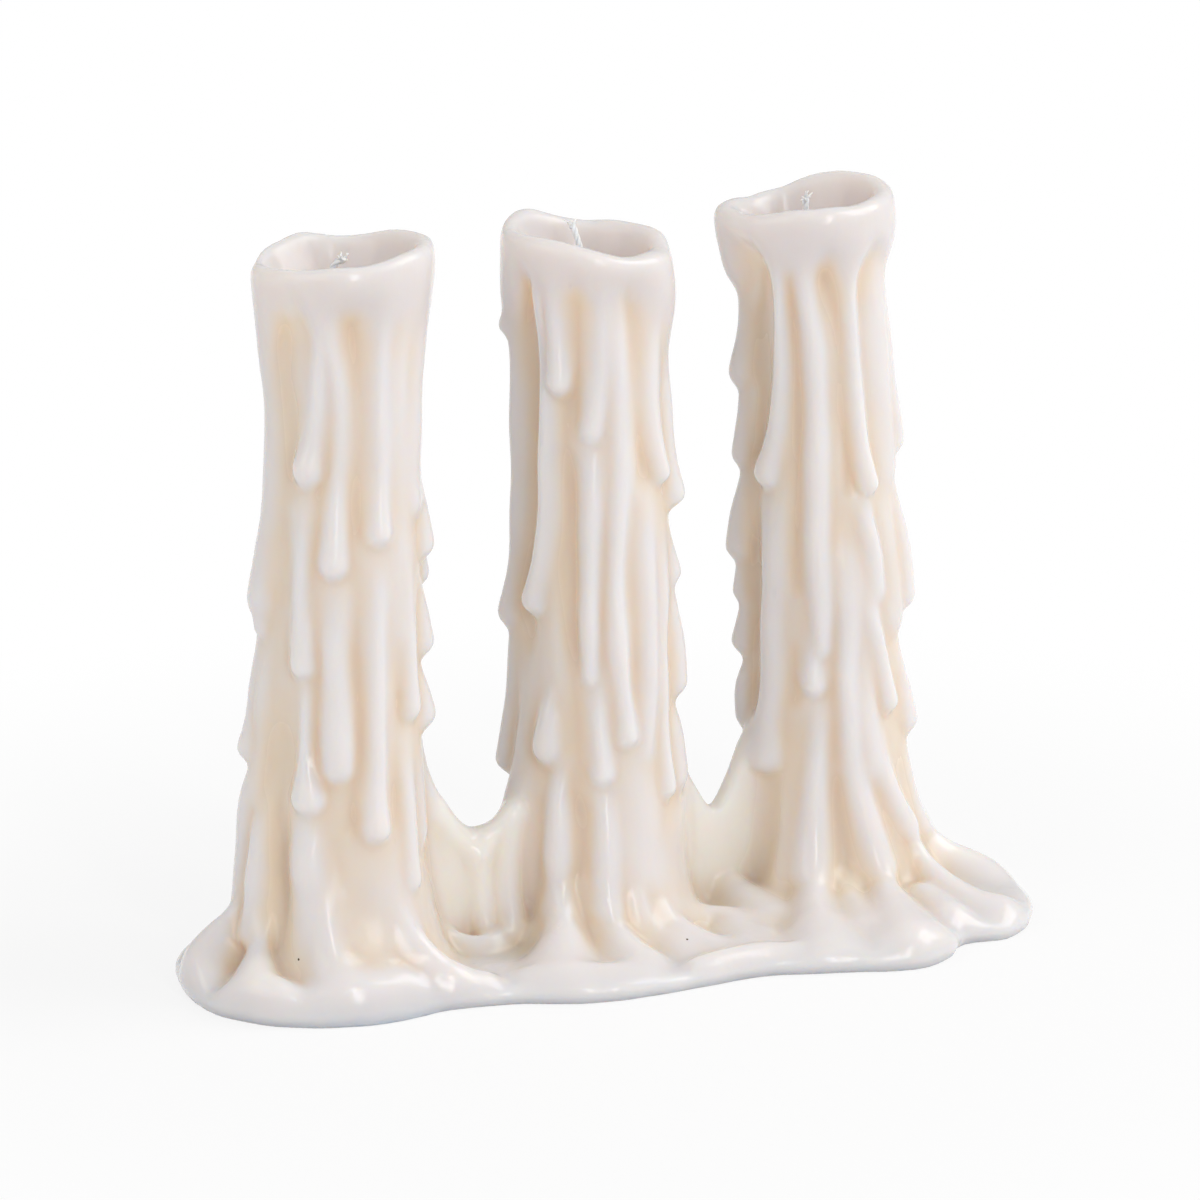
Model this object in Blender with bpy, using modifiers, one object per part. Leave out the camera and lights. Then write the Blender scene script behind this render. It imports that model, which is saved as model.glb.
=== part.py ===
"""Melted candle: three guttered pillars cast as one piece of wax, with a wick in each.

Each pillar starts as a turned column with a cupped top. Runs of wax are tapered tubes
that lie on its side and end in a round bulb, and thicker roots carry the wax down into
one puddle. Two low webs of wax close the feet of the gaps between the pillars. All these
shapes are melted into one skin by a voxel remesh, which leaves the soft fillets of real
wax. That skin is cut flat where it stood on the table, and bored for the three wicks.

Units are metres and +Z is up. The row of pillars lies along X and its front faces -Y.
Angles are degrees round a pillar's axis from the front (-Y), positive towards +X.
Heights, widths and places in the tables below are millimetres, as the MM factor shows.
"""
import math
from typing import NamedTuple

import bmesh
import bpy
from mathutils import Matrix, Vector
from mathutils.geometry import interpolate_bezier

MM = 0.001

# Driving dimensions of a pillar. Its rim waves, and the wax bends with it above RIM_BENDS_FROM.
PILLAR_HEIGHT = 160 * MM
COLLAR_RADIUS = 19.5 * MM
LIP_THICKNESS = 5.4 * MM
CRATER_DEPTH = 15 * MM
CRATER_FLOOR_RADIUS = 9.5 * MM
RIM_BENDS_FROM = 128 * MM
RIM_BEND_LENGTH = 20 * MM
TURN_STEPS = 48

# The bare column under its runs, from the collar to the foot: height and radius.
COLUMN_SIDE = (
    (153.5, 19.3), (150.5, 18.5), (146, 17.1), (140, 16.2), (125, 15.8), (100, 16.1), (80, 16.8),
    (60, 17.3), (40, 17.8), (25, 18.8), (13, 21), (7, 23.5), (3, 27), (-4, 29),
)

# A run of wax: how far its middle lies outside the bare column and how thick its stem is, as
# shares of the bulb's radius, where along it the bulb starts to swell, the spacing of its
# points, and the dips of the points that round off its end.
RUN_LIFT = 0.28
STEM_SHARE = 0.62
SWELL_FROM = 0.45
RUN_STEP = 6 * MM
FEWEST_STEPS = 5
ROUND_END = (0.5, 0.86, 0.98)
# A run's top is sunk in the wax, by this many times the stem, and it comes out over this length.
SUNK_STEMS = 1.5
RUN_EMERGES = 14 * MM

# A root's curve: the share of its height where its hip is, how far the hip stands off the
# column, how low and how far out the knee is, how deep its end lies in the puddle as a
# share of its width, and how many points it has.
HIP_SHARE = 0.4
ROOT_LIFT = 1 * MM
KNEE_HEIGHT = 6 * MM
KNEE_REACH = 0.3
ROOT_SINK = 0.22
ROOT_STATIONS = 10

# The puddle at the foot.
PUDDLE_TOP = 3.6 * MM
PUDDLE_EDGE = 1.6 * MM
MELT_BELOW_TABLE = 4 * MM
PUDDLE_OUTLINE = (
    (-97.5, 4), (-95.5, -10), (-86, -21.5), (-70, -27.5), (-52, -28), (-37, -32), (-22, -39),
    (-4, -41.5), (16, -41), (34, -47), (50, -53), (61, -50), (68, -44), (79, -45), (89, -38.5),
    (96, -25), (98, -7), (93, 12), (79, 24), (60, 28), (41, 25), (22, 29), (-2, 33), (-22, 28),
    (-42, 31), (-63, 35), (-83, 31.5), (-94, 20),
)

# The table's plane cuts the wax, and the middle of its footprint is the part's origin.
ORIGIN_SHIFT = Vector((-0.3 * MM, 9 * MM, 0))

# The wicks: the room that each bore leaves round its wick, how far the wick's foot stays above
# the table, and how far it rises straight out of the crater's floor before it leans.
WICK_RADIUS = 0.9 * MM
WICK_GAP = 0.35 * MM
WICK_RECESS = 0.3 * MM
WICK_NECK = 1.5 * MM
BORE_SIDES = 16

# How finely the wax is melted together, and how many triangles its skin keeps.
VOXEL = 1.35 * MM
MELT_FACTOR = 0.5
MELT_PASSES = 5
WAX_TRIANGLES = 10200
# Points closer than this are one point, and cutters reach this far past what they cut.
WELD = 0.01 * MM
CUTTER_OVERRUN = 8 * MM


class Wave(NamedTuple):
    """One wave round a rim: crests in a turn, height in millimetres, angle of a crest."""

    count: int
    height: float
    crest: float


class Pillar(NamedTuple):
    """Where a pillar stands, how it leans, how its rim waves and where its wick ends."""

    foot_x: float
    top_x: float
    rim: float
    waves: tuple
    wick_tip: tuple


class Run(NamedTuple):
    """A run of wax: angles of its top and tip, sideways bow, heights and bulb width."""

    top_angle: float
    tip_angle: float
    bow: float
    top: float
    tip: float
    width: float


class Tier(NamedTuple):
    """Runs on a hidden back: height of the tops, mean and spread of the tips, width, turn."""

    top: float
    tip: float
    spread: float
    width: float
    turn: float


class Root(NamedTuple):
    """A root of wax: angle and height where it leaves its pillar, its far end, widths."""

    angle: float
    height: float
    end_x: float
    end_y: float
    width: float
    end_width: float


LEFT_RIM = (Wave(1, 1.7, 98), Wave(2, 0.4, 0), Wave(3, 0.6, -35))
MIDDLE_RIM = (Wave(1, 3, -127), Wave(2, 1, 85))
RIGHT_RIM = (Wave(1, 1.8, 87), Wave(2, 1.1, -43), Wave(3, 0.8, 0))

PILLARS = {
    "left": Pillar(-63, -60.5, 159.3, LEFT_RIM, (2.2, -0.5, 13.5)),
    "middle": Pillar(-1.8, -3, 158, MIDDLE_RIM, (-4.5, 3.5, 14)),
    "right": Pillar(57, 50.8, 161, RIGHT_RIM, (-1.4, 1, 13)),
}

RUNS = {
    "left": (
        Run(-38, -52, 4, 153, 114, 6.1), Run(-19, -31, 0, 153, 93, 6.1), Run(8, -2, 0, 153, 101, 5.4),
        Run(26, 27, 0, 152, 104, 4.6), Run(56, 60, 0, 152, 94, 5.4), Run(50, 62, 0, 92, 75, 5.4),
        Run(58, 60, 0, 73, 58, 5), Run(24, 26, 0, 90, 62, 4.2), Run(-84, -100, 0, 152, 84, 5.2),
        Run(-114, -112, 0, 98, 77, 5.6), Run(-118, -122, 0, 80, 49, 5.6), Run(-98, -106, 0, 74, 37, 5.4),
        Run(-53, -54, 0, 97, 73, 6), Run(-51, -52, 0, 76, 46, 7.2), Run(-29, -29, 0, 92, 54, 7.2),
        Run(2, -3, 0, 102, 38, 6.8), Run(15, 31, 0, 64, 25, 3.6), Run(54, 62, 0, 54, 20, 3.8),
    ),
    "middle": (
        Run(-72, -70, 11, 152, 77, 5.9), Run(-54, -50, 0, 152, 126, 5.9), Run(-18, -28, -4, 150, 66, 4.8),
        Run(-4, -5, 0, 150, 48, 4.8), Run(-24, -20, 0, 66, 40, 5.7), Run(16, 26, 0, 150, 103, 7.2),
        Run(40, 60, 0, 128, 100, 4.6), Run(52, 62, 0, 98, 80, 4.6), Run(60, 64, 0, 82, 56, 5.4),
        Run(23, 38, 0, 102, 31, 4.8), Run(-100, -112, 0, 98, 69, 5), Run(-118, -120, 0, 68, 42, 5),
        Run(-119, -121, 0, 152, 138, 4.2), Run(-52, -61, 0, 70, 47, 7),
    ),
    "right": (
        Run(-66, -66, 12, 154, 100, 5.7), Run(-43, -32, 9, 154, 77, 4.8), Run(-3, 5, 0, 154, 97, 6.6),
        Run(5, 9, 0, 101, 78, 7.4), Run(42, 60, 0, 153, 103, 5), Run(60, 62, 0, 97, 66, 6),
        Run(58, 62, 0, 64, 38, 5), Run(-103, -112, 0, 152, 119, 4.4), Run(-96, -102, 0, 118, 100, 4),
        Run(-104, -118, 0, 98, 79, 4.6), Run(-102, -108, 0, 80, 58, 4.2), Run(-61, -60, -3, 102, 36, 6.8),
        Run(-25, -33, 0, 80, 56, 4.8), Run(-5, -9, 0, 80, 46, 4.2), Run(16, 38, 0, 78, 43, 5.2),
    ),
}

ROOTS = {
    "left": (
        Root(-45, 48, -76, -19, 5.6, 11), Root(-98, 40, -87, -4, 6, 13), Root(-120, 48, -89, 13, 7, 14),
        Root(-12, 24, -63, -20, 7, 11), Root(30, 26, -46, -21, 4.6, 9), Root(72, 24, -34, -13, 4.6, 8),
        Root(-155, 40, -81, 25, 7, 13), Root(165, 34, -60, 29, 6, 11), Root(125, 30, -43, 22, 6, 10),
    ),
    "middle": (
        Root(-54, 46, -22, -27, 6, 13), Root(-22, 40, -3, -32, 6, 9), Root(7, 34, 11, -33, 5, 8),
        Root(40, 30, 17, -22, 4.6, 8), Root(-86, 30, -27, -12, 4.6, 8), Root(170, 34, 0, 26, 6, 11),
        Root(128, 28, 18, 20, 5.5, 10), Root(-140, 30, -20, 20, 5.5, 10),
    ),
    "right": (
        Root(-31, 56, 41, -34, 5.2, 13), Root(-7, 48, 53, -41, 4.6, 14), Root(24, 44, 70, -35, 4.4, 10),
        Root(50, 36, 87, -28, 4.6, 11), Root(76, 28, 92, -10, 5, 14), Root(-66, 34, 28, -20, 5, 10),
        Root(98, 26, 91, 4, 6, 15), Root(150, 32, 66, 21, 6, 11), Root(-155, 30, 42, 18, 5.5, 10),
        Root(122, 32, 80, 15, 6, 12),
    ),
}

# The hidden back of each pillar: tiers of runs, spread evenly in angle, whose lengths step
# by the golden ratio so that no two neighbours are alike, and which drift a little sideways.
BACK_ANGLES = range(84, 217, 22)
BACK_TIERS = (Tier(152, 112, 44, 5.4, 0), Tier(94, 66, 30, 5.8, 9))
BACK_DRIFT = 12
GOLDEN = 0.618034

# The webs between the pillars: X of the first end, the lowest point and the last end, and
# the height of the sagging top edge at each of them.
WEB_HALF_THICKNESS = 3 * MM
WEB_EDGE_WIDTH = 7.5
WEB_STATIONS = 6
WEBS = (
    (-50, -31, -13, 50, 28, 49),
    (13, 25, 43, 34, 24, 51),
)
# Ridges down the webs, as places (x, y, height) and a width.
WEB_RIDGES = (
    (((-31, -3, 25), (-32, -6, 13), (-31, -9, 4)), 4),
    (((-21, -4, 34), (-25, -7, 20), (-25, -11, 4)), 4.4),
    (((-17, -7, 34), (-20, -10, 20), (-22, -13, 4)), 3.6),
    (((17, -3, 27), (25, -5, 18), (31, -9, 4)), 4.4),
    (((33, -2, 32), (33, -6, 18), (34, -12, 4)), 4.4),
)

WAX_COLOUR = (0.86, 0.80, 0.73, 1)
COTTON_COLOUR = (0.80, 0.77, 0.72, 1)


def clear_scene():
    """Remove every object that the new file starts with."""
    for thing in list(bpy.data.objects):
        bpy.data.objects.remove(thing)


def make_collection(name):
    """Add a collection to the scene."""
    collection = bpy.data.collections.new(name)
    bpy.context.scene.collection.children.link(collection)
    return collection


def make_material(name, colour, roughness):
    """Make a plain Principled material."""
    material = bpy.data.materials.new(name)
    material.use_nodes = True
    shader = material.node_tree.nodes["Principled BSDF"]
    shader.inputs["Base Color"].default_value = colour
    shader.inputs["Roughness"].default_value = roughness
    shader.inputs["Metallic"].default_value = 0
    material.diffuse_color = colour
    return material


def smooth_step(value):
    """Ease from 0 to 1 with flat ends."""
    value = min(max(value, 0), 1)
    return value * value * (3 - 2 * value)


def column_radius(height):
    """Radius of the bare column at a height, read between the points of its side."""
    for (high, wide), (low, narrow) in zip(COLUMN_SIDE, COLUMN_SIDE[1:]):
        if height >= low * MM:
            share = min((high * MM - height) / ((high - low) * MM), 1)
            return (wide + (narrow - wide) * max(share, 0)) * MM
    return COLUMN_SIDE[-1][1] * MM


def axis_x(pillar, height):
    """X of a pillar's axis at a height: straight at the foot, leaning more towards the top."""
    lean = (pillar.top_x - pillar.foot_x) * MM
    return pillar.foot_x * MM + lean * (max(height, 0) / PILLAR_HEIGHT) ** 2


def on_pillar(pillar, angle, height, offset):
    """Point at an angle and a height, a given offset outside the bare column."""
    turn = math.radians(angle)
    reach = column_radius(height) + offset
    return Vector((axis_x(pillar, height) + reach * math.sin(turn), -reach * math.cos(turn), height))


def rim_rise(pillar, angle):
    """Height of the rim above the nominal pillar height, at an angle."""
    waves = sum(w.height * math.cos(w.count * math.radians(angle - w.crest)) for w in pillar.waves)
    return (pillar.rim + waves) * MM - PILLAR_HEIGHT


def arc(centre, radius, start, end, steps):
    """Points of a circular arc in the profile plane, angles in degrees from +X."""
    turns = [math.radians(start + (end - start) * i / steps) for i in range(steps + 1)]
    return [(centre[0] + radius * math.cos(t), centre[1] + radius * math.sin(t)) for t in turns]


def column_profile():
    """Profile from the crater's floor, over the lip and down the side to the foot."""
    lip = LIP_THICKNESS / 2
    floor = PILLAR_HEIGHT - CRATER_DEPTH
    corner = (CRATER_FLOOR_RADIUS - lip, floor + lip)
    points = [(0, floor)]
    points += arc(corner, lip, -90, -10, 4)
    points += arc((COLLAR_RADIUS - lip, PILLAR_HEIGHT - lip), lip, 170, 0, 8)
    points += [(radius * MM, height * MM) for height, radius in COLUMN_SIDE]
    points.append((0, -MELT_BELOW_TABLE))
    return points


def make_column(name, pillar, collection):
    """Turn a column, lean it along its axis and wave its rim."""
    profile = column_profile()
    mesh = bpy.data.meshes.new(name)
    mesh.from_pydata([(x, 0, z) for x, z in profile], [(i, i + 1) for i in range(len(profile) - 1)], [])
    column = bpy.data.objects.new(name, mesh)
    collection.objects.link(column)
    screw = column.modifiers.new("turn", "SCREW")
    screw.steps = screw.render_steps = TURN_STEPS
    screw.use_merge_vertices = True
    screw.merge_threshold = WELD
    column = to_mesh_object(column, collection)
    for vertex in column.data.vertices:
        x, y, z = vertex.co
        near_rim = smooth_step((z - RIM_BENDS_FROM) / RIM_BEND_LENGTH)
        vertex.co.z = z + near_rim * rim_rise(pillar, math.degrees(math.atan2(x, -y)))
        vertex.co.x = x + axis_x(pillar, z)
    return column


def to_mesh_object(thing, collection):
    """Replace an object by a closed mesh of its evaluated shape, in world place."""
    depsgraph = bpy.context.evaluated_depsgraph_get()
    mesh = bpy.data.meshes.new_from_object(thing.evaluated_get(depsgraph))
    mesh.transform(thing.matrix_world)
    body = bmesh.new()
    body.from_mesh(mesh)
    bmesh.ops.remove_doubles(body, verts=body.verts, dist=WELD)
    bmesh.ops.recalc_face_normals(body, faces=body.faces)
    body.to_mesh(mesh)
    body.free()
    solid = bpy.data.objects.new(thing.name + "_mesh", mesh)
    bpy.data.objects.remove(thing)
    collection.objects.link(solid)
    return solid


def make_tube(name, points, radii, collection):
    """Sweep a round section along points, with its own radius at each of them."""
    curve = bpy.data.curves.new(name, "CURVE")
    curve.dimensions = "3D"
    curve.bevel_depth = 1
    curve.bevel_resolution = 2
    curve.use_fill_caps = True
    spline = curve.splines.new("POLY")
    spline.points.add(len(points) - 1)
    for place, point, radius in zip(spline.points, points, radii):
        place.co = (*point, 1)
        place.radius = radius
    tube = bpy.data.objects.new(name, curve)
    collection.objects.link(tube)
    bpy.context.view_layer.update()
    return to_mesh_object(tube, collection)


def make_run(name, pillar, run, collection):
    """Lay a run of wax on a pillar: a thin stem that swells to a round-ended bulb."""
    bulb = run.width * MM / 2
    stem = STEM_SHARE * bulb
    length = (run.top - run.tip) * MM
    points = []
    radii = []
    stations = max(FEWEST_STEPS, round(length / RUN_STEP))
    for i in range(stations + 1):
        share = i / stations
        height = run.top * MM - (length - bulb) * share
        angle = run.top_angle + (run.tip_angle - run.top_angle) * smooth_step(share)
        angle += run.bow * math.sin(math.pi * min(2 * share, 1))
        radius = stem + (bulb - stem) * smooth_step((share - SWELL_FROM) / (1 - SWELL_FROM))
        sunk = stem * (1 - smooth_step(length * share / RUN_EMERGES))
        points.append(on_pillar(pillar, angle, height, RUN_LIFT * bulb - SUNK_STEMS * sunk))
        radii.append(radius)
    for dip in ROUND_END:
        points.append(points[stations] - Vector((0, 0, bulb * dip)))
        radii.append(bulb * math.sqrt(1 - dip * dip))
    return make_tube(name, points, radii, collection)


def make_root(name, pillar, root, collection):
    """Carry a root of wax from a pillar's side down and out into the puddle."""
    height = root.height * MM
    start = on_pillar(pillar, root.angle, height, 0)
    hip = on_pillar(pillar, root.angle, HIP_SHARE * height, ROOT_LIFT)
    end = Vector((root.end_x * MM, root.end_y * MM, PUDDLE_TOP - ROOT_SINK * root.end_width * MM))
    knee = on_pillar(pillar, root.angle, KNEE_HEIGHT, 0).lerp(Vector((end.x, end.y, KNEE_HEIGHT)), KNEE_REACH)
    line = interpolate_bezier(start, hip, knee, end, ROOT_STATIONS)
    swell = (root.end_width - root.width) / (ROOT_STATIONS - 1)
    return make_tube(name, line, [(root.width + swell * i) * MM / 2 for i in range(ROOT_STATIONS)], collection)


def back_runs(index):
    """Runs on the hidden side of the pillar that has this index in the row."""
    runs = []
    for tier in BACK_TIERS:
        for angle in BACK_ANGLES:
            count = index * len(BACK_TIERS) * len(BACK_ANGLES) + len(runs) + 1
            step = (GOLDEN * count) % 1 - 0.5
            start = angle + tier.turn
            tip = tier.tip + tier.spread * step
            runs.append(Run(start, start + BACK_DRIFT * step, 0, tier.top, tip, tier.width))
    return runs


def make_puddle(collection):
    """Fill the puddle's outline as a smooth closed curve with rounded edges."""
    curve = bpy.data.curves.new("puddle", "CURVE")
    curve.dimensions = "2D"
    curve.fill_mode = "BOTH"
    curve.extrude = (PUDDLE_TOP + MELT_BELOW_TABLE) / 2 - PUDDLE_EDGE
    curve.bevel_depth = PUDDLE_EDGE
    curve.offset = -PUDDLE_EDGE
    curve.bevel_resolution = 2
    curve.resolution_u = 6
    spline = curve.splines.new("BEZIER")
    spline.bezier_points.add(len(PUDDLE_OUTLINE) - 1)
    for place, (x, y) in zip(spline.bezier_points, PUDDLE_OUTLINE):
        place.co = (x * MM, y * MM, 0)
        place.handle_left_type = place.handle_right_type = "AUTO"
    spline.use_cyclic_u = True
    puddle = bpy.data.objects.new("puddle", curve)
    puddle.location.z = (PUDDLE_TOP - MELT_BELOW_TABLE) / 2
    collection.objects.link(puddle)
    bpy.context.view_layer.update()
    return to_mesh_object(puddle, collection)


def web_edge(web):
    """Points (x, z) of a web's sagging top edge, from its first end to its last."""
    first_x, low_x, last_x, first_z, low_z, last_z = (value * MM for value in web)
    points = []
    for i in range(-WEB_STATIONS, WEB_STATIONS + 1):
        end_x, end_z = (first_x, first_z) if i < 0 else (last_x, last_z)
        share = abs(i) / WEB_STATIONS
        points.append((low_x + (end_x - low_x) * share, low_z + (end_z - low_z) * share**2))
    return points


def make_web(name, web, collection):
    """Stand a thin web of wax between two pillars, in the plane of their axes."""
    edge = web_edge(web)
    outline = [*edge, (edge[-1][0], -MELT_BELOW_TABLE), (edge[0][0], -MELT_BELOW_TABLE)]
    curve = bpy.data.curves.new(name, "CURVE")
    curve.dimensions = "2D"
    curve.fill_mode = "BOTH"
    curve.extrude = WEB_HALF_THICKNESS
    spline = curve.splines.new("POLY")
    spline.points.add(len(outline) - 1)
    for place, (x, z) in zip(spline.points, outline):
        place.co = (x, z, 0, 1)
    spline.use_cyclic_u = True
    plate = bpy.data.objects.new(name, curve)
    plate.matrix_world = Matrix.Rotation(math.radians(90), 4, "X")
    collection.objects.link(plate)
    bpy.context.view_layer.update()
    return to_mesh_object(plate, collection)


def make_ridge(name, ridge, collection):
    """Lay a ridge of wax down a web."""
    places, width = ridge
    points = [Vector(place) * MM for place in places]
    return make_tube(name, points, [width * MM / 2] * len(points), collection)


def melt_together(pieces, collection):
    """Join overlapping shapes into one soft skin of few triangles."""
    joined = bmesh.new()
    for piece in pieces:
        joined.from_mesh(piece.data)
        bpy.data.objects.remove(piece)
    mesh = bpy.data.meshes.new("wax_skin")
    joined.to_mesh(mesh)
    joined.free()
    skin = bpy.data.objects.new("wax_skin", mesh)
    collection.objects.link(skin)
    remesh = skin.modifiers.new("melt", "REMESH")
    remesh.mode = "VOXEL"
    remesh.voxel_size = VOXEL
    smooth = skin.modifiers.new("soften", "SMOOTH")
    smooth.factor = MELT_FACTOR
    smooth.iterations = MELT_PASSES
    skin = to_mesh_object(skin, collection)
    triangles = sum(len(face.vertices) - 2 for face in skin.data.polygons)
    thin = skin.modifiers.new("thin", "DECIMATE")
    thin.ratio = WAX_TRIANGLES / triangles
    thin.use_collapse_triangulate = True
    return to_mesh_object(skin, collection)


def wick_path(pillar):
    """Points of a wick's line: up the bore, then leaning free in the crater."""
    floor = pillar.rim * MM - CRATER_DEPTH
    foot = Vector((pillar.foot_x * MM, 0, WICK_RECESS))
    top = Vector((pillar.top_x * MM, 0, floor))
    lean = Vector(pillar.wick_tip) * MM
    points = [foot, foot.lerp(top, 0.5), top, top + Vector((0, 0, WICK_NECK))]
    for share in (0.25, 0.5, 0.75, 1):
        rise = WICK_NECK + (lean.z - WICK_NECK) * share
        points.append(top + Vector((lean.x * share**2, lean.y * share**2, rise)))
    return points


def make_wick(name, pillar, material, collection):
    """Sweep a wick, full length from the underside to its tip in the crater."""
    points = wick_path(pillar)
    wick = make_tube(name, points, [WICK_RADIUS] * len(points), collection)
    wick.name = name
    wick.data.materials.append(material)
    wick.data.shade_smooth()
    wick.data.transform(Matrix.Translation(ORIGIN_SHIFT))
    return wick


def make_bore(name, pillar, cutters):
    """Make the cutter of a wick's bore, a straight cylinder from below the foot to the crater."""
    foot, _, top = wick_path(pillar)[:3]
    along = top - foot
    depth = along.length + 2 * CUTTER_OVERRUN
    bpy.ops.mesh.primitive_cylinder_add(vertices=BORE_SIDES, radius=WICK_RADIUS + WICK_GAP, depth=depth)
    bore = bpy.context.object
    bore.name = name
    turn = along.to_track_quat("Z", "Y").to_matrix().to_4x4()
    bore.matrix_world = Matrix.Translation((foot + top) / 2) @ turn
    keep_as_cutter(bore, cutters)
    return bore


def make_table_cutter(cutters):
    """Make the cutter that leaves the wax flat where it stood on the table."""
    width, breadth = (2 * (max(map(abs, side)) * MM + CUTTER_OVERRUN) for side in zip(*PUDDLE_OUTLINE))
    height = MELT_BELOW_TABLE + CUTTER_OVERRUN
    bpy.ops.mesh.primitive_cube_add(size=1, location=(0, 0, -height / 2))
    block = bpy.context.object
    block.name = "table_cutter"
    block.scale = (width, breadth, height)
    keep_as_cutter(block, cutters)
    return block


def keep_as_cutter(cutter, cutters):
    """Move a cutter to its collection and hide it from renders."""
    for collection in list(cutter.users_collection):
        collection.objects.unlink(cutter)
    cutters.objects.link(cutter)
    cutter.hide_render = True
    cutter.display_type = "WIRE"


def cut(body, cutter):
    """Take a cutter away from a body."""
    boolean = body.modifiers.new(cutter.name, "BOOLEAN")
    boolean.operation = "DIFFERENCE"
    boolean.object = cutter


def make_wax(parts, cutters):
    """Build the one wax body."""
    pieces = [make_puddle(parts)]
    for index, (name, pillar) in enumerate(PILLARS.items()):
        pieces.append(make_column(f"column_{name}", pillar, parts))
        for i, run in enumerate((*RUNS[name], *back_runs(index))):
            pieces.append(make_run(f"run_{name}_{i}", pillar, run, parts))
        for i, root in enumerate(ROOTS[name]):
            pieces.append(make_root(f"root_{name}_{i}", pillar, root, parts))
    pieces += [make_web(f"web_{i}", web, parts) for i, web in enumerate(WEBS)]
    edges = [([(x / MM, 0, z / MM) for x, z in web_edge(web)], WEB_EDGE_WIDTH) for web in WEBS]
    pieces += [make_ridge(f"ridge_{i}", ridge, parts) for i, ridge in enumerate((*edges, *WEB_RIDGES))]
    wax = melt_together(pieces, parts)
    wax.name = "wax_body"
    cut(wax, make_table_cutter(cutters))
    for name, pillar in PILLARS.items():
        cut(wax, make_bore(f"bore_{name}", pillar, cutters))
    bpy.context.view_layer.update()
    wax = to_mesh_object(wax, parts)
    wax.name = "wax_body"
    wax.data.transform(Matrix.Translation(ORIGIN_SHIFT))
    wax.data.materials.append(make_material("ivory_wax", WAX_COLOUR, 0.38))
    wax.data.shade_smooth()
    return wax


def main():
    """Build the candle: the wax body and its three wicks."""
    clear_scene()
    parts = make_collection("melted_candle")
    cutters = make_collection("cutters")
    make_wax(parts, cutters)
    cotton = make_material("wick_cotton", COTTON_COLOUR, 0.9)
    for name, pillar in PILLARS.items():
        make_wick(f"wick_{name}", pillar, cotton, parts)


main()
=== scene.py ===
"""Looks of the melted candle: its wax skin, its three wicks and a plain studio.

The wax is one melt, so no single grid of two parameters can cover it. Its skin is the zero
level of a field of distances instead: every pillar, run of wax, root, web and the puddle is
a distance worked out with numpy over a block of space, the blocks are melted into each
other with a soft minimum, and a surface net is drawn where the result changes sign. Lengths
in the wax classes are millimetres, and angles are degrees round a pillar from the front
(-Y), positive towards +X. Meshes are in metres, in the frame's own place.
"""
from __future__ import annotations

import logging
import math
from dataclasses import dataclass, replace
from enum import Enum
from typing import Iterable, Protocol, Sequence

import bpy
import numpy as np
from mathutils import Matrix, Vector

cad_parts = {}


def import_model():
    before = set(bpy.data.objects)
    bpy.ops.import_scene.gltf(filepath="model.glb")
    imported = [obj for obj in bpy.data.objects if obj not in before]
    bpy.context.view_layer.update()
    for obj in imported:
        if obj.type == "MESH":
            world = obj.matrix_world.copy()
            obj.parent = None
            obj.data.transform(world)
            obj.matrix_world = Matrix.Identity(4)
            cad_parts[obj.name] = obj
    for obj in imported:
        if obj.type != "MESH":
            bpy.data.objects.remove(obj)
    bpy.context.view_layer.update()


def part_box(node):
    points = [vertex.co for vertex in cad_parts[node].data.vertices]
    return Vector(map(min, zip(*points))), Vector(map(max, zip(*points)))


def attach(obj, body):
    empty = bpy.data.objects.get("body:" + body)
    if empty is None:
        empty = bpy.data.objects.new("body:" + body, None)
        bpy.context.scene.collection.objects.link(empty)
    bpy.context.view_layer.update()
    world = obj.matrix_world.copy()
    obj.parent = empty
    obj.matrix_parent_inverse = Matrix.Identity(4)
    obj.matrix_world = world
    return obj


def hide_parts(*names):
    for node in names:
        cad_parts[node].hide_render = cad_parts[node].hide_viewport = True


MM = 0.001
ROW_Y = 9.0
ROW_SHIFT_X = -0.3
LOG = logging.getLogger("melted_candle")
Array = np.ndarray
Box = tuple[Array, Array]


# --------------------------------------------------------------------------- plain maths


def ease(values: Array | float) -> Array:
    """Ease values from 0 to 1 with flat ends: three squares less two cubes, clipped."""
    share = np.clip(values, 0.0, 1.0)
    return share * share * (3.0 - 2.0 * share)


def soft_min(first: Array, second: Array, softness: Array | float) -> Array:
    """Melt two distances together.

    The smaller of the two, less a sixth of the softness times the cube of the share by
    which they are nearer to each other than the softness.

    Args:
        first: Distances to one shape.
        second: Distances to the other shape.
        softness: Reach of the fillet between them, in the same unit.

    Returns:
        Distances to the two shapes melted together.
    """
    share = np.maximum(softness - np.abs(first - second), 0.0) / softness
    return np.minimum(first, second) - share**3 * softness / 6.0


def soft_max(first: Array, second: Array, softness: Array | float) -> Array:
    """Cut one distance by another with a rounded edge: the soft minimum turned over."""
    return -soft_min(-first, -second, softness)


def closed_curve(points: Sequence[tuple[float, float]], steps: int) -> Array:
    """Run a smooth closed curve through points.

    Each stretch is a cubic whose slope at a point is half the step between its two
    neighbours.

    Args:
        points: Corners of the outline, in order.
        steps: Places worked out on each stretch.

    Returns:
        The curve's places, one row each.
    """
    here = np.asarray(points, float)
    after = np.roll(here, -1, axis=0)
    slope = (after - np.roll(here, 1, axis=0)) / 2.0
    next_slope = np.roll(slope, -1, axis=0)
    t = (np.arange(steps) / steps)[None, :, None]
    value = (
        (2 * t**3 - 3 * t**2 + 1) * here[:, None]
        + (t**3 - 2 * t**2 + t) * slope[:, None]
        + (3 * t**2 - 2 * t**3) * after[:, None]
        + (t**3 - t**2) * next_slope[:, None]
    )
    return value.reshape(-1, 2)


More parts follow.
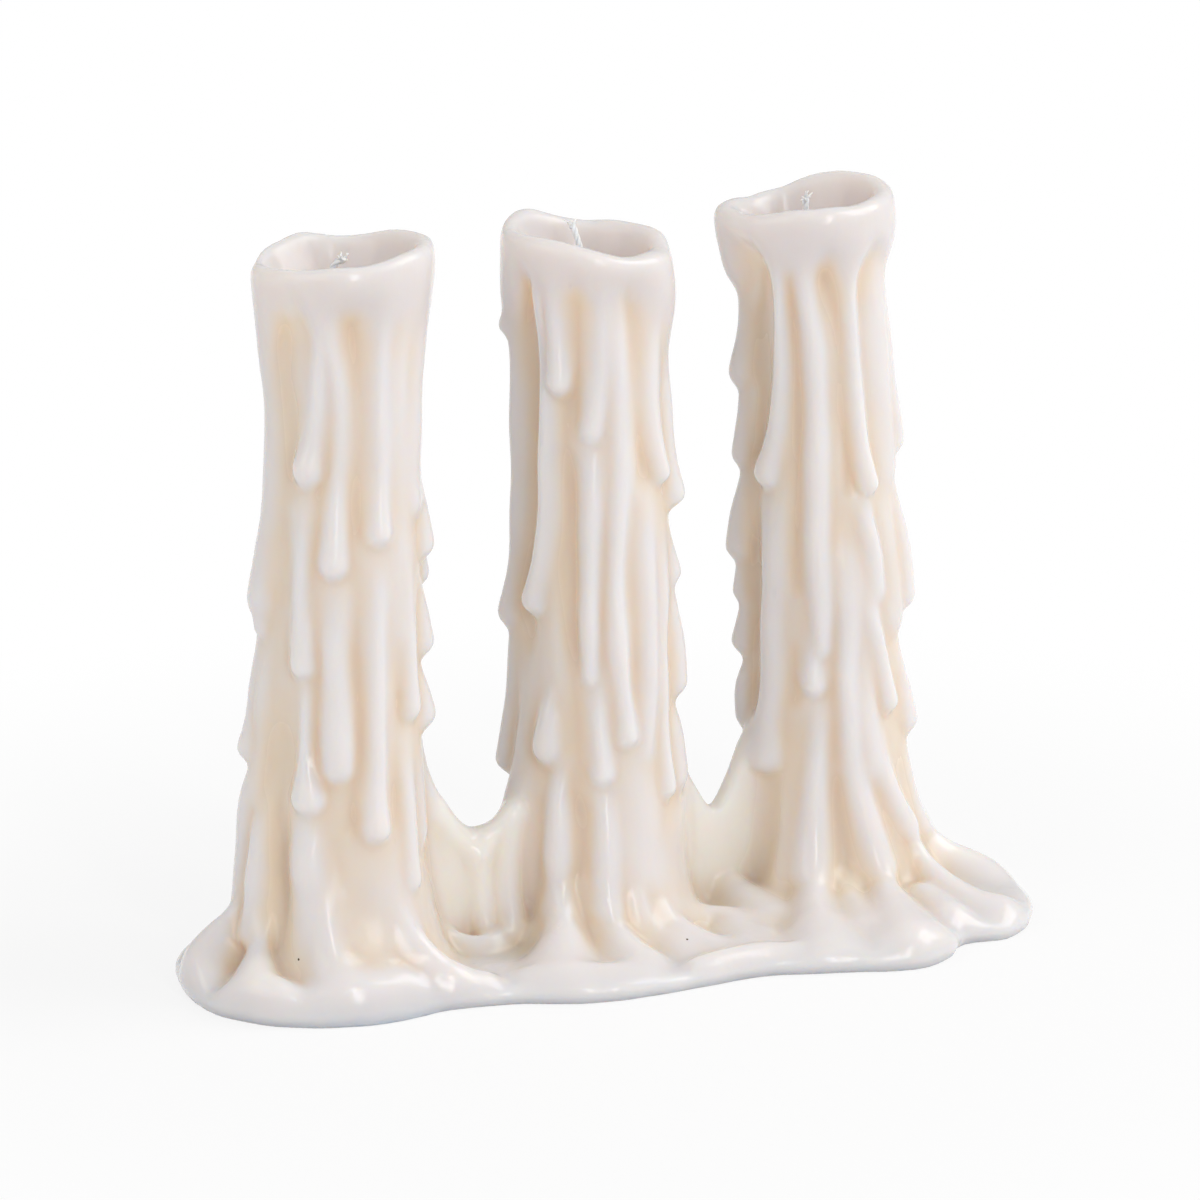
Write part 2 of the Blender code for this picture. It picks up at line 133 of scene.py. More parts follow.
def round_line(points: Sequence[tuple[float, float]], angle: Array, spread: float) -> Array:
    """Follow a line round a pillar through points: straight between them, averaged over a stretch.

    Args:
        points: Angles in degrees and values.
        angle: Where to read the line, in degrees.
        spread: Half the stretch, in degrees.

    Returns:
        The line's values.
    """
    angles, values = np.array(points, float).T
    shifts = np.linspace(-spread, spread, 7)
    return np.mean([np.interp(angle + shift, angles, values, period=360) for shift in shifts], axis=0)


def on_line(value: float, line: tuple[tuple[float, float], ...]) -> float:
    """Read a line of straight stretches through points at a value."""
    return float(np.interp(value, *zip(*line)))


# --------------------------------------------------------------------------- reliefs

# How the wax of runs and roots spreads and sinks as it slumps.
THIN_WIDTH = 3.0
THIN_SPREAD = 1.18
WIDE_SPREAD = 1.06
SINK = ((0.3, 0.3), (3.1, 2.3), (3.8, 3.25), (6.0, 5.45))
ROOT_SPREAD = ((8, 1.45), (14, 1.6), (20, 1.35))
# How many of its widths a fold can reach.
FOLD_REACH = 2.6


@dataclass(frozen=True)
class Fold:
    """A ridge, a run or a hollow of wax, drawn along its crest on an unrolled skin.

    Attributes:
        places: Rows of a place across, a place along, the width to the left of the crest,
            the width to its right and how far it stands out, from its root to its tip.
        flank: Power of its section at the root: the more, the softer its feet.
        tip: Power of its section at the tip: the less, the fuller its bulb.
    """

    places: tuple[tuple[float, float, float, float, float], ...]
    flank: float = 2.4
    tip: float = 0.75

    def slumped(self) -> Fold:
        """Slump a run as the heat does: it spreads, thin places most, and sinks.

        Its widths grow by THIN_SPREAD under THIN_WIDTH and by WIDE_SPREAD from there. How far
        it stands out follows the line through SINK. All to a tenth of a millimetre.
        """
        rows = []
        for across, along, *widths, rise in self.places:
            left, right = (w * (THIN_SPREAD if w < THIN_WIDTH else WIDE_SPREAD) for w in widths)
            rows.append((across, along, round(left, 1), round(right, 1), round(on_line(rise, SINK), 1)))
        return replace(self, places=tuple(rows))

    def spread_out(self) -> Fold:
        """Spread a root over the table: its widths grow by the line through ROOT_SPREAD at its height."""
        rows = []
        for across, along, left, right, height in self.places:
            growth = on_line(height, ROOT_SPREAD)
            rows.append((across, along, round(left * growth, 1), round(right * growth, 1), height))
        return replace(self, places=tuple(rows))

    def drawn_up(self, lift: float, turn: float = 0.0, wider: float = 1.0) -> Fold:
        """Draw a run's tip up, by a share that grows evenly from its root to its tip.

        Args:
            lift: How far the tip rises.
            turn: How far the tip goes across.
            wider: Factor of the widths at the tip.

        Returns:
            The run, to a tenth of a millimetre.
        """
        rows = []
        for number, (across, along, left, right, rise) in enumerate(self.places):
            share = number / (len(self.places) - 1)
            growth = 1 + (wider - 1) * share
            place = round(across + turn * share, 1), round(along + lift * share, 1)
            rows.append((*place, round(left * growth, 1), round(right * growth, 1), rise))
        return replace(self, places=tuple(rows))

    def crest(self, across_scale: float) -> Array:
        """Follow the crest finely: straight lines between the places, averaged over a stretch.

        Args:
            across_scale: Millimetres in one unit across.

        Returns:
            Rows as in the places, with the section's power as a sixth column.
        """
        rows = np.array(self.places, float)
        rows[:, 0] *= across_scale
        count = len(rows)
        share = np.linspace(0, count - 1, 5 * (count - 1) + 1)
        spread = np.linspace(-0.35, 0.35, 5)
        fine = [
            np.mean([np.interp(share + shift, np.arange(count), column) for shift in spread], axis=0)
            for column in rows.T
        ]
        fullness = self.flank + (self.tip - self.flank) * ease((share / (count - 1) - 0.55) / 0.4)
        return np.stack([*fine, fullness], axis=1)


@dataclass
class Relief:
    """Heights over an unrolled skin, on an even grid of places across and along.

    Attributes:
        across: Places across.
        along: Places along.
        height: The heights, a row for each place across.
        across_scale: Millimetres in one unit across.
        period: Turn after which the places across come round again, or nought.
    """

    across: Array
    along: Array
    height: Array
    across_scale: float = 1.0
    period: float = 0.0

    def section(self, start: Array, end: Array) -> Array:
        """Work out one stretch of a fold over the whole grid.

        The distance to the nearest point of the crest is a share of the width on that side.
        The height is the rise times one less the share squared, to the section's power, and
        beyond the edge it drops by twice the share that is left.

        Args:
            start: Row of the crest where the stretch starts.
            end: Row of the crest where it ends.

        Returns:
            Heights of the stretch.
        """
        step = end[:2] - start[:2]
        length = max(np.hypot(*step), 1e-6)
        out = self.across[:, None] * self.across_scale - start[0]
        if self.period:
            turn = self.period * self.across_scale
            out = (out + turn / 2) % turn - turn / 2
        up = self.along[None, :] - start[1]
        share = np.clip((out * step[0] + up * step[1]) / length**2, 0, 1)
        out = out - share * step[0]
        up = up - share * step[1]
        gap = np.sqrt(out**2 + up**2) + 1e-9
        side = 0.5 + 0.5 * (step[0] * up - step[1] * out) / (length * gap)
        _, _, left, right, rise, power = (start[:, None, None] + share * (end - start)[:, None, None])
        reach = gap / ((left + (right - left) * side) * (0.82 + 0.30 * power))
        dome = np.maximum(1 - reach**2, 0) ** power
        return rise * np.where(reach < 1, dome, -2 * (reach - 1))

    @staticmethod
    def room(crest: Array) -> float:
        """How far a fold can reach beyond its crest."""
        return FOLD_REACH * crest[:, 2:4].max() + 1

    def rows_near(self, crest: Array) -> Array:
        """Which places across lie near a crest."""
        gap = self.across[:, None] * self.across_scale - crest[None, :, 0]
        if self.period:
            turn = self.period * self.across_scale
            gap = (gap + turn / 2) % turn - turn / 2
        return np.flatnonzero(np.abs(gap).min(axis=1) < self.room(crest) + 2)

    def fold_height(self, fold: Fold) -> tuple[Array, Array, Array]:
        """Work a fold out over the part of the grid that it can reach.

        Returns:
            The rows and the columns of the grid that it can reach, and its height there.
        """
        crest = fold.crest(self.across_scale)
        rows = self.rows_near(crest)
        room = self.room(crest)
        above = self.along > crest[:, 1].min() - room
        below = self.along < crest[:, 1].max() + room
        columns = np.flatnonzero(above & below)
        part = Relief(self.across[rows], self.along[columns], None, self.across_scale, self.period)
        pick = np.minimum if crest[0, 4] < 0 else np.maximum
        total = part.section(crest[0], crest[1])
        for start, end in zip(crest[1:], crest[2:]):
            total = pick(total, part.section(start, end))
        return rows, columns, total

    def rolled(self, heights: Array, across: Sequence[int], along: Sequence[int]) -> Iterable[Array]:
        """Shift heights by steps across and along, one copy for each pair of steps."""
        for right in across:
            for up in along:
                yield np.roll(heights, (right, up), axis=(0, 1))

    def soften(self, across: Sequence[int], along: Sequence[int]) -> None:
        """Average the heights over steps across and along."""
        total = sum(self.rolled(self.height, across, along))
        self.height = total / (len(across) * len(along))

    def depth(self) -> Array:
        """How far the heights lie below the highest ones nearby, averaged over a stretch."""
        top = self.height
        for near in self.rolled(self.height, range(-24, 25, 3), range(-18, 19, 3)):
            top = np.maximum(top, near)
        spans = range(-9, 10, 3), range(-6, 7, 2)
        top = sum(self.rolled(top, *spans)) / (len(spans[0]) * len(spans[1]))
        return np.maximum(top - self.height, 0)

    def press(self, hollow: Fold) -> None:
        """Press a hollow in: its depth is added where it lies."""
        rows, columns, depth = self.fold_height(hollow)
        self.height[np.ix_(rows, columns)] += np.minimum(depth, 0)

    def lay(self, fold: Fold, softness: float) -> None:
        """Lay a fold over the skin: the higher of the two, with a soft crease between them."""
        rows, columns, height = self.fold_height(fold)
        here = self.height[np.ix_(rows, columns)]
        self.height[np.ix_(rows, columns)] = soft_max(here, height, softness)


def look_up(grid: Array, spot: Array) -> Array:
    """Read a grid between its points: the mean of the corners round each spot, by nearness.

    Args:
        grid: Values, with as many axes as a spot has numbers.
        spot: Places counted in grid steps, the numbers of each place on the last axis.

    Returns:
        One value for each spot.
    """
    cell = np.clip(np.floor(spot).astype(np.int32), 0, np.array(grid.shape) - 2)
    share = np.clip(spot - cell, 0, 1)
    total = np.zeros(spot.shape[:-1])
    for corner in np.ndindex(*(2,) * grid.ndim):
        weight = np.prod(np.where(corner, share, 1 - share), axis=-1)
        total += weight * grid[tuple(np.moveaxis(cell + corner, -1, 0))]
    return total


# --------------------------------------------------------------------------- shapes of wax


class Shape(Protocol):
    """Anything that can be melted into the wax."""

    def box(self) -> Box:
        """Lowest and highest corners."""

    def distance(self, x: Array, y: Array, z: Array) -> tuple[Array, Array | float]:
        """Distances from the shape over a block of space, and how softly it melts in."""


# Most that a distance is eased by where the wax is steep.
MOST_SLOPE = 3.0
# The grid over a pillar's side: its spacing, its lowest and its highest height.
SIDE_STEP = 0.5
SIDE_FOOT = -4.0
SIDE_TOP = 174.0


@dataclass(frozen=True)
class Pillar:
    """A guttered pillar: a turned column that leans, with a collar, runs and hollows.

    Attributes:
        name: Name of the pillar.
        foot_x: X of its axis at the foot.
        lean: How far the axis has gone along X at the pillar's height.
        rim: Angles and heights of its rim.
        collar: Angles, and the heights where its collar starts and where it is full.
        hollows: Hollows pressed into its side.
        runs: Runs laid over its side, over one another in their order.
        side: Heights and radii of the bare column.
    """

    name: str
    foot_x: float
    lean: float
    rim: tuple[tuple[float, float], ...]
    collar: tuple[tuple[float, float, float], ...]
    hollows: tuple[Fold, ...]
    runs: tuple[Fold, ...]
    row_y: float = ROW_Y
    height: float = 160.0
    side: tuple[tuple[float, float], ...] = (
        (-6, 31), (0, 29), (3, 26.5), (7, 23.3), (13, 20.6), (20, 18.8), (30, 17.6), (42, 16.9),
        (60, 16.3), (80, 16.1), (100, 15.7), (115, 15.0), (130, 14.6), (174, 14.6),
    )
    collar_rise: float = 4.6
    crease: float = 2.4
    lip_round: float = 5.2
    melt_room: float = 0.65
    softness: float = 4.5
    reference_radius: float = 17.5

    def axis_x(self, z: Array | float) -> Array | float:
        """X of the axis at heights: upright at the foot, leaning with the height squared."""
        return self.foot_x + self.lean * (np.clip(z, 0, None) / self.height) ** 2

    def column_radius(self, z: Array | float) -> Array:
        """Radius of the bare column: lines between the side's points, averaged over 6 mm."""
        heights, radii = np.array(self.side, float).T
        spread = np.linspace(-3.0, 3.0, 7)
        return np.mean([np.interp(z + shift, heights, radii) for shift in spread], axis=0)

    def rim_height(self, angle: Array) -> Array:
        """Height of the rim at angles."""
        return round_line(self.rim, angle, 8.0) + self.melt_room

    def collar_share(self, angle: Array, height: Array) -> Array:
        """Share of the collar at angles and heights, eased from its start to where it is full."""
        low = round_line([row[:2] for row in self.collar], angle, 5.0)
        high = round_line([row[::2] for row in self.collar], angle, 5.0)
        return ease((height - low) / (high - low))

    def mean_rim(self) -> float:
        """Mean height of the rim."""
        return float(np.mean(self.rim_height(np.arange(0.0, 360.0, 5.0))))

    def relief(self) -> Relief:
        """Work out how far the wax stands out of the bare column, over the whole side.

        The collar is eased in over its lower edge. Then the hollows are pressed in, and the
        runs are laid over one another.
        """
        angle = np.arange(-180.0, 181.0)
        height = np.arange(SIDE_FOOT, SIDE_TOP, SIDE_STEP)
        collar = self.collar_rise * self.collar_share(angle[:, None], height[None, :])
        skin = Relief(angle, height, collar, math.radians(1.0) * self.reference_radius, 360.0)
        for hollow in self.hollows:
            skin.press(hollow)
        for run in self.runs:
            skin.lay(run, self.crease)
        skin.soften(range(-3, 4), range(-2, 3))
        return skin

    def radius(self, skin: Relief) -> Array:
        """Radius over the whole side: the bare column's and the relief's height."""
        return skin.height + self.column_radius(skin.along)[None, :]

    def spot(self, turn: Array, z: Array) -> Array:
        """Places in the relief's grid, of angles and heights."""
        return np.stack(np.broadcast_arrays(turn + 180.0, (z - SIDE_FOOT) / SIDE_STEP), axis=-1)

    def cover(self, places: Array) -> tuple[Array, Array]:
        """How far places are out of the side, and how deep the side lies there below its folds."""
        reach, turn, _ = self.polar(*places.T)
        skin = self.relief()
        spot = self.spot(turn, places[:, 2])
        return reach - look_up(self.radius(skin), spot), look_up(skin.depth(), spot)

    def polar(self, x: Array, y: Array, z: Array) -> tuple[Array, Array, Array]:
        """Distance from the axis, angle in degrees and height below the rim, negative."""
        across, out = x - self.axis_x(z), y - self.row_y
        turn = np.degrees(np.arctan2(across, -out))
        return np.hypot(across, out), turn, z - self.rim_height(turn)

    def box(self) -> Box:
        """Lowest and highest corners, with the widest radius all round."""
        widest = max(radius for _, radius in self.side) + 1
        xs = (self.foot_x, self.foot_x + self.lean)
        low = np.array([min(xs) - widest, self.row_y - widest, -2.0])
        return low, np.array([max(xs) + widest, self.row_y + widest, self.mean_rim() + 9.0])

    def distance(self, x: Array, y: Array, z: Array) -> tuple[Array, float]:
        """Distances from the pillar.

        The side is the distance from the axis less the radius there, eased by how steep the
        side is. The rim cuts it at the waved height with a round edge.
        """
        reach, turn, above = self.polar(x, y, z)
        radius = self.radius(self.relief())
        by_angle, by_height = np.gradient(radius, math.radians(1.0), SIDE_STEP)
        steep = np.sqrt(1 + by_height**2 + (by_angle / radius) ** 2)
        spot = self.spot(turn, z)
        side = (reach - look_up(radius, spot)) / np.minimum(look_up(steep, spot), MOST_SLOPE)
        return soft_max(side, above, self.lip_round), self.softness


@dataclass(frozen=True)
class Crater:
    """The cup that the flame melted into a pillar's top, a little off its axis."""

    pillar: Pillar
    off_x: float = 0.0
    off_y: float = 0.0
    mouth_radius: float = 16.4
    floor_radius: float = 10.5
    depth: float = 15.0
    wall_slope: float = 0.95
    floor_round: float = 7.0
    softness: float = 5.0

    def box(self) -> Box:
        """Lowest and highest corners."""
        low, high = self.pillar.box()
        low[2] = self.pillar.mean_rim() - self.depth - 8
        return low, high

    def distance(self, x: Array, y: Array, z: Array) -> tuple[Array, float]:
        """Distances from the cup's room: a radius eased from floor to mouth, with a round floor."""
        reach, _, above = self.pillar.polar(x - self.off_x, y - self.off_y, z)
        cup = self.floor_radius + (self.mouth_radius - self.floor_radius) * ease(1 + above / self.depth)
        return soft_max((reach - cup) * self.wall_slope, -above - self.depth, self.floor_round), self.softness


@dataclass(frozen=True)
class WickHole:
    """The short hole under a pillar where its wick comes out of the wax."""

    pillar: Pillar
    radius: float = 1.25
    depth: float = 1.6
    softness: float = 0.3

    def box(self) -> Box:
        """Lowest and highest corners."""
        room = self.radius + 1
        x, y = self.pillar.foot_x, self.pillar.row_y
        return np.array([x - room, y - room, -2.0]), np.array([x + room, y + room, self.depth + 1])

    def distance(self, x: Array, y: Array, z: Array) -> tuple[Array, float]:
        """Distances from an upright rod cut at the hole's depth."""
        reach = np.hypot(x - self.pillar.foot_x, y - self.pillar.row_y) - self.radius
        return np.maximum(reach, z - self.depth), self.softness


@dataclass(frozen=True)
class Ridge:
    """A thread of wax through places of its own, with one width at each end."""

    places: tuple[tuple[float, float, float], ...]
    width: float
    end_width: float
    softness: float = 3.0

    def line(self) -> Array:
        """Run a smooth line through the places: straight lines averaged with their neighbours."""
        places = np.array(self.places, float)
        count = len(places)
        share = np.linspace(0, count - 1, 5 * count)
        spread = np.linspace(-0.3, 0.3, 5)
        lines = [
            [np.interp(share + shift, np.arange(count), axis) for axis in places.T] for shift in spread
        ]
        return np.mean(lines, axis=0).T

    def box(self) -> Box:
        """Lowest and highest corners, with room for the fillets."""
        line = self.line()
        room = max(self.width, self.end_width) / 2 + self.softness
        return line.min(axis=0) - room, line.max(axis=0) + room

    def distance(self, x: Array, y: Array, z: Array) -> tuple[Array, float]:
        """Distances from a chain of round bars.

        For each bar: the distance to the nearest point of its middle line, less the radius
        there. The nearest bar wins.
        """
        line = self.line()
        radii = np.linspace(self.width, self.end_width, len(line)) / 2
        nearest = np.full(np.broadcast_shapes(x.shape, y.shape, z.shape), 1e3, np.float32)
        for start, end, thin, thick in zip(line, line[1:], radii, radii[1:]):
            along = end - start
            px, py, pz = x - start[0], y - start[1], z - start[2]
            share = (px * along[0] + py * along[1] + pz * along[2]) / max(along @ along, 1e-9)
            share = np.clip(share, 0, 1)
            gap = (px - share * along[0]) ** 2 + (py - share * along[1]) ** 2
            gap = np.sqrt(gap + (pz - share * along[2]) ** 2)
            nearest = np.minimum(nearest, gap - (thin + share * (thick - thin)))
        return nearest, self.softness


@dataclass(frozen=True)
class Web:
    """A thin wall of wax between two pillars, with a sagging top edge.

    Attributes:
        edge: X and height of the top edge, from left to right.
        flare: How much thicker it gets on each side towards the pillars.
        flare_start: Share of the way from its middle to a pillar where that starts.
        flare_top: Height at which the flare is gone.
        flare_fade: How far below that height the flare is full.
        foot_swell: How much thicker it gets on each side at the table.
        foot_height: Height at which that starts.
    """

    edge: tuple[tuple[float, float], ...]
    row_y: float = ROW_Y
    half_thickness: float = 2.6
    flare: float = 10.0
    flare_start: float = 0.35
    flare_top: float = 48.0
    flare_fade: float = 20.0
    foot_swell: float = 2.0
    foot_height: float = 14.0
    edge_round: float = 4.0
    softness: float = 5.0

    def edge_height(self, x: Array) -> Array:
        """Height of the top edge: lines between its points, averaged over 3 mm."""
        places, heights = np.array(self.edge, float).T
        spread = np.linspace(-1.5, 1.5, 5)
        return np.mean([np.interp(x + shift, places, heights) for shift in spread], axis=0)

    def box(self) -> Box:
        """Lowest and highest corners."""
        places, heights = np.array(self.edge, float).T
        room = self.half_thickness + self.flare + self.softness
        low = np.array([places[0], self.row_y - room, -2.0])
        return low, np.array([places[-1], self.row_y + room, heights.max() + 4])

    def distance(self, x: Array, y: Array, z: Array) -> tuple[Array, float]:
        """Distances from a plate in the row's plane, cut by its edge with a round border.

        The plate is thicker near the table, and low down towards the pillars at its two ends.
        """
        edge = self.edge_height(x)
        slope = self.edge_height(x + 0.5) - self.edge_height(x - 0.5)
        above = (z - edge) / np.sqrt(1 + slope**2)
        start, end = self.edge[0][0], self.edge[-1][0]
        share = np.abs(2 * x - start - end) / (end - start)
        outward = ease((share - self.flare_start) / (1 - self.flare_start))
        widening = self.flare * outward * ease((self.flare_top - z) / self.flare_fade)
        swell = self.foot_swell * ease((self.foot_height - z) / self.foot_height)
        half = self.half_thickness + widening + swell
        beside = np.abs(y - self.row_y) - half
        return soft_max(beside, above, self.edge_round), self.softness


@dataclass(frozen=True)
class Puddle:
    """The puddle of wax at the foot: a plan outline filled with folds that flow to its border.

    Attributes:
        outline: X and Y round its border.
        folds: Roots and lobes: X, Y, widths and heights of their crests.
        hollows: Hollows between them.
    """

    outline: tuple[tuple[float, float], ...]
    folds: tuple[Fold, ...]
    hollows: tuple[Fold, ...]
    depth: float = 4.6
    crease: float = 4.4
    lip_round: float = 6.5
    tuck: float = 1.1
    softness: float = 5.0
    top: float = 32.0
    step: float = 0.5

    def curve(self) -> Array:
        """The border's places."""
        return closed_curve(self.outline, 9)

    def box(self) -> Box:
        """Lowest and highest corners."""
        curve = self.curve()
        low = np.array([*(curve.min(axis=0) - 3), -2.0])
        return low, np.array([*(curve.max(axis=0) + 3), self.top])

    def border(self, x: Array, y: Array) -> Array:
        """Distances on the plan from the border, negative inside.

        The distance to the nearest stretch of the border. A place is inside where a line to
        its left crosses the border an odd number of times.
        """
        nearest = np.full(x.shape, 1e6)
        inside = np.zeros(x.shape, bool)
        curve = self.curve()
        for start, end in zip(curve, np.roll(curve, -1, axis=0)):
            along = end - start
            px, py = x - start[0], y - start[1]
            share = np.clip((px * along[0] + py * along[1]) / (along @ along), 0, 1)
            nearest = np.minimum(nearest, (px - share * along[0]) ** 2 + (py - share * along[1]) ** 2)
            spans = (start[1] > y) != (end[1] > y)
            rise = np.where(along[1] == 0, 1e-9, along[1])
            inside ^= spans & (x < start[0] + (y - start[1]) * along[0] / rise)
        return np.sqrt(nearest) * np.where(inside, -1, 1)

    def relief(self) -> Relief:
        """Work out the height of the wax over the plan: an uneven floor, hollows, then folds."""
        low, high = self.box()
        x = np.arange(low[0] - 1, high[0] + 1, self.step)
        y = np.arange(low[1] - 1, high[1] + 1, self.step)
        uneven = 0.35 * np.sin(x[:, None] / 9 + 1) * np.cos(y[None, :] / 7)
        uneven = uneven + 0.25 * np.sin(x[:, None] / 5 - y[None, :] / 6)
        skin = Relief(x, y, self.depth + uneven)
        for hollow in self.hollows:
            skin.press(hollow)
        for fold in self.folds:
            skin.lay(fold, self.crease)
        skin.soften(range(-2, 3), range(-2, 3))
        return skin

    def distance(self, x: Array, y: Array, z: Array) -> tuple[Array, float]:
        """Distances from the puddle.

        The height above the relief, eased by how steep it is, and the distance from the
        border, tucked in at the table, meet with a round edge.
        """
        plan_x, plan_y = np.broadcast_arrays(x[:, :, 0], y[:, :, 0])
        skin = self.relief()
        by_x, by_y = np.gradient(skin.height, self.step)
        steep = np.sqrt(1 + by_x**2 + by_y**2)
        spot = np.stack([plan_x - skin.across[0], plan_y - skin.along[0]], axis=-1) / self.step
        slope = np.minimum(look_up(steep, spot), MOST_SLOPE)[:, :, None]
        above = (z - look_up(skin.height, spot)[:, :, None]) / slope
        beside = self.border(plan_x, plan_y)[:, :, None] + self.tuck * ease(1 - z / 3.0)
        return soft_max(beside, above, self.lip_round), self.softness


# --------------------------------------------------------------------------- the field

# Settling on the skin: the least square of the slope that counts, and the most that a place moves.
LEAST_STEEP = 0.2
MOST_MOVE = 0.4
# Shortest and longest of the slow waves on the skin.
WAVE_LENGTHS = (8, 26)


@dataclass
class WaxField:
    """Distances to the wax on an even grid: negative inside, positive outside.

    Attributes:
        low: Place of the first grid point.
        step: Spacing of the grid.
        values: The distances.
    """

    low: Array
    step: float
    values: Array

    @classmethod
    def around(cls, low: Array, high: Array, step: float) -> WaxField:
        """Lay an empty grid round a box. Half a step keeps the table's plane between two layers."""
        start = np.floor(low / step) * step - 0.5 * step
        counts = np.ceil((high - start) / step).astype(int) + 2
        return cls(start, step, np.full(counts, 30.0, np.float32))

    def axes(self, lows: Sequence[int], highs: Sequence[int]) -> list[Array]:
        """Coordinates of a block, each along its own axis of the grid."""
        lines = [self.low[i] + self.step * np.arange(lows[i], highs[i]) for i in range(3)]
        return [line.reshape([-1 if i == axis else 1 for i in range(3)]) for axis, line in enumerate(lines)]

    def blend(self, shape: Shape, carve: bool) -> None:
        """Melt a shape in, or carve it out, over the block of space that it can change."""
        low, high = shape.box()
        room = 2.5
        lows = np.clip(np.floor((low - room - self.low) / self.step).astype(int), 0, None)
        highs = np.minimum(np.ceil((high + room - self.low) / self.step).astype(int) + 1, self.values.shape)
        distance, softness = shape.distance(*self.axes(lows, highs))
        block = tuple(slice(a, b) for a, b in zip(lows, highs))
        here, other = self.values[block], distance.astype(np.float32)
        self.values[block] = soft_max(here, -other, softness) if carve else soft_min(here, other, softness)

    def melt_in(self, shapes: Iterable[Shape]) -> None:
        """Melt shapes into the wax, one after another."""
        for shape in shapes:
            self.blend(shape, carve=False)

    def carve_out(self, shapes: Iterable[Shape]) -> None:
        """Carve the room of shapes out of the wax."""
        for shape in shapes:
            self.blend(shape, carve=True)

    def wobble(self, waves: int, depth: float, seed: int) -> None:
        """Unsettle the skin with slow waves of wax.

        Adds plane waves with random directions and phases and lengths of 8 to 26 mm, drawn
        out along the height. Each one is a product of three turning numbers, one per axis.
        """
        rng = np.random.default_rng(seed)
        x, y, z = self.axes((0, 0, 0), self.values.shape)
        swell = np.zeros(self.values.shape, np.complex64)
        for _ in range(waves):
            length = rng.uniform(*WAVE_LENGTHS)
            aim = rng.normal(size=3) * (1, 1, 0.45)
            aim *= 2 * np.pi / length / np.linalg.norm(aim)
            turns = [np.exp(1j * k * axis).astype(np.complex64) for k, axis in zip(aim, (x, y, z))]
            swell += turns[0] * turns[1] * (turns[2] * np.exp(1j * rng.uniform(0, 6.28)).astype(np.complex64))
        self.values += swell.real * np.float32(depth / math.sqrt(waves))

    def cut_at_table(self) -> None:
        """Cut the wax flat at height nought."""
        z = self.axes((0, 0, 0), self.values.shape)[2]
        self.values = np.maximum(self.values, -z.astype(np.float32))

    def sample(self, grid: Array, places: Array) -> Array:
        """Read a grid at places."""
        return look_up(grid, (places - self.low) / self.step)

    def slopes(self, places: Array) -> Array:
        """Direction in which the distance grows at places, from differences half a step apart."""
        reach = 0.6 * self.step
        shifts = np.eye(3) * reach
        rises = [self.sample(self.values, places + s) - self.sample(self.values, places - s) for s in shifts]
        return np.stack(rises, axis=1) / (2 * reach)

    def settle(self, places: Array) -> Array:
        """Move places onto the skin: twice down the slope by the distance over the slope squared."""
        for _ in range(2):
            slope = self.slopes(places)
            steep = np.maximum((slope**2).sum(axis=1), LEAST_STEEP)
            move = np.clip(self.sample(self.values, places) / steep, -MOST_MOVE, MOST_MOVE)
            places = places - slope * move[:, None]
        return places

    def enclosure(self, reach: float) -> Array:
        """How deep each grid point lies among wax: the share of wax in a soft ball round it.

        The wax is 1 inside and 0 outside, and it is averaged three times along each axis by
        differences of running sums.
        """
        wax = np.clip(0.5 - self.values / self.step, 0, 1).astype(np.float32)
        width = max(1, round(reach / self.step / 2))
        for axis in range(3):
            for _ in range(3):
                room = [(width + 1, width) if i == axis else (0, 0) for i in range(3)]
                sums = np.cumsum(np.pad(wax, room), axis=axis, dtype=np.float64)
                ahead = np.take(sums, np.arange(2 * width + 1, sums.shape[axis]), axis=axis)
                behind = np.take(sums, np.arange(0, sums.shape[axis] - 2 * width - 1), axis=axis)
                wax = ((ahead - behind) / (2 * width + 1)).astype(np.float32)
        return wax


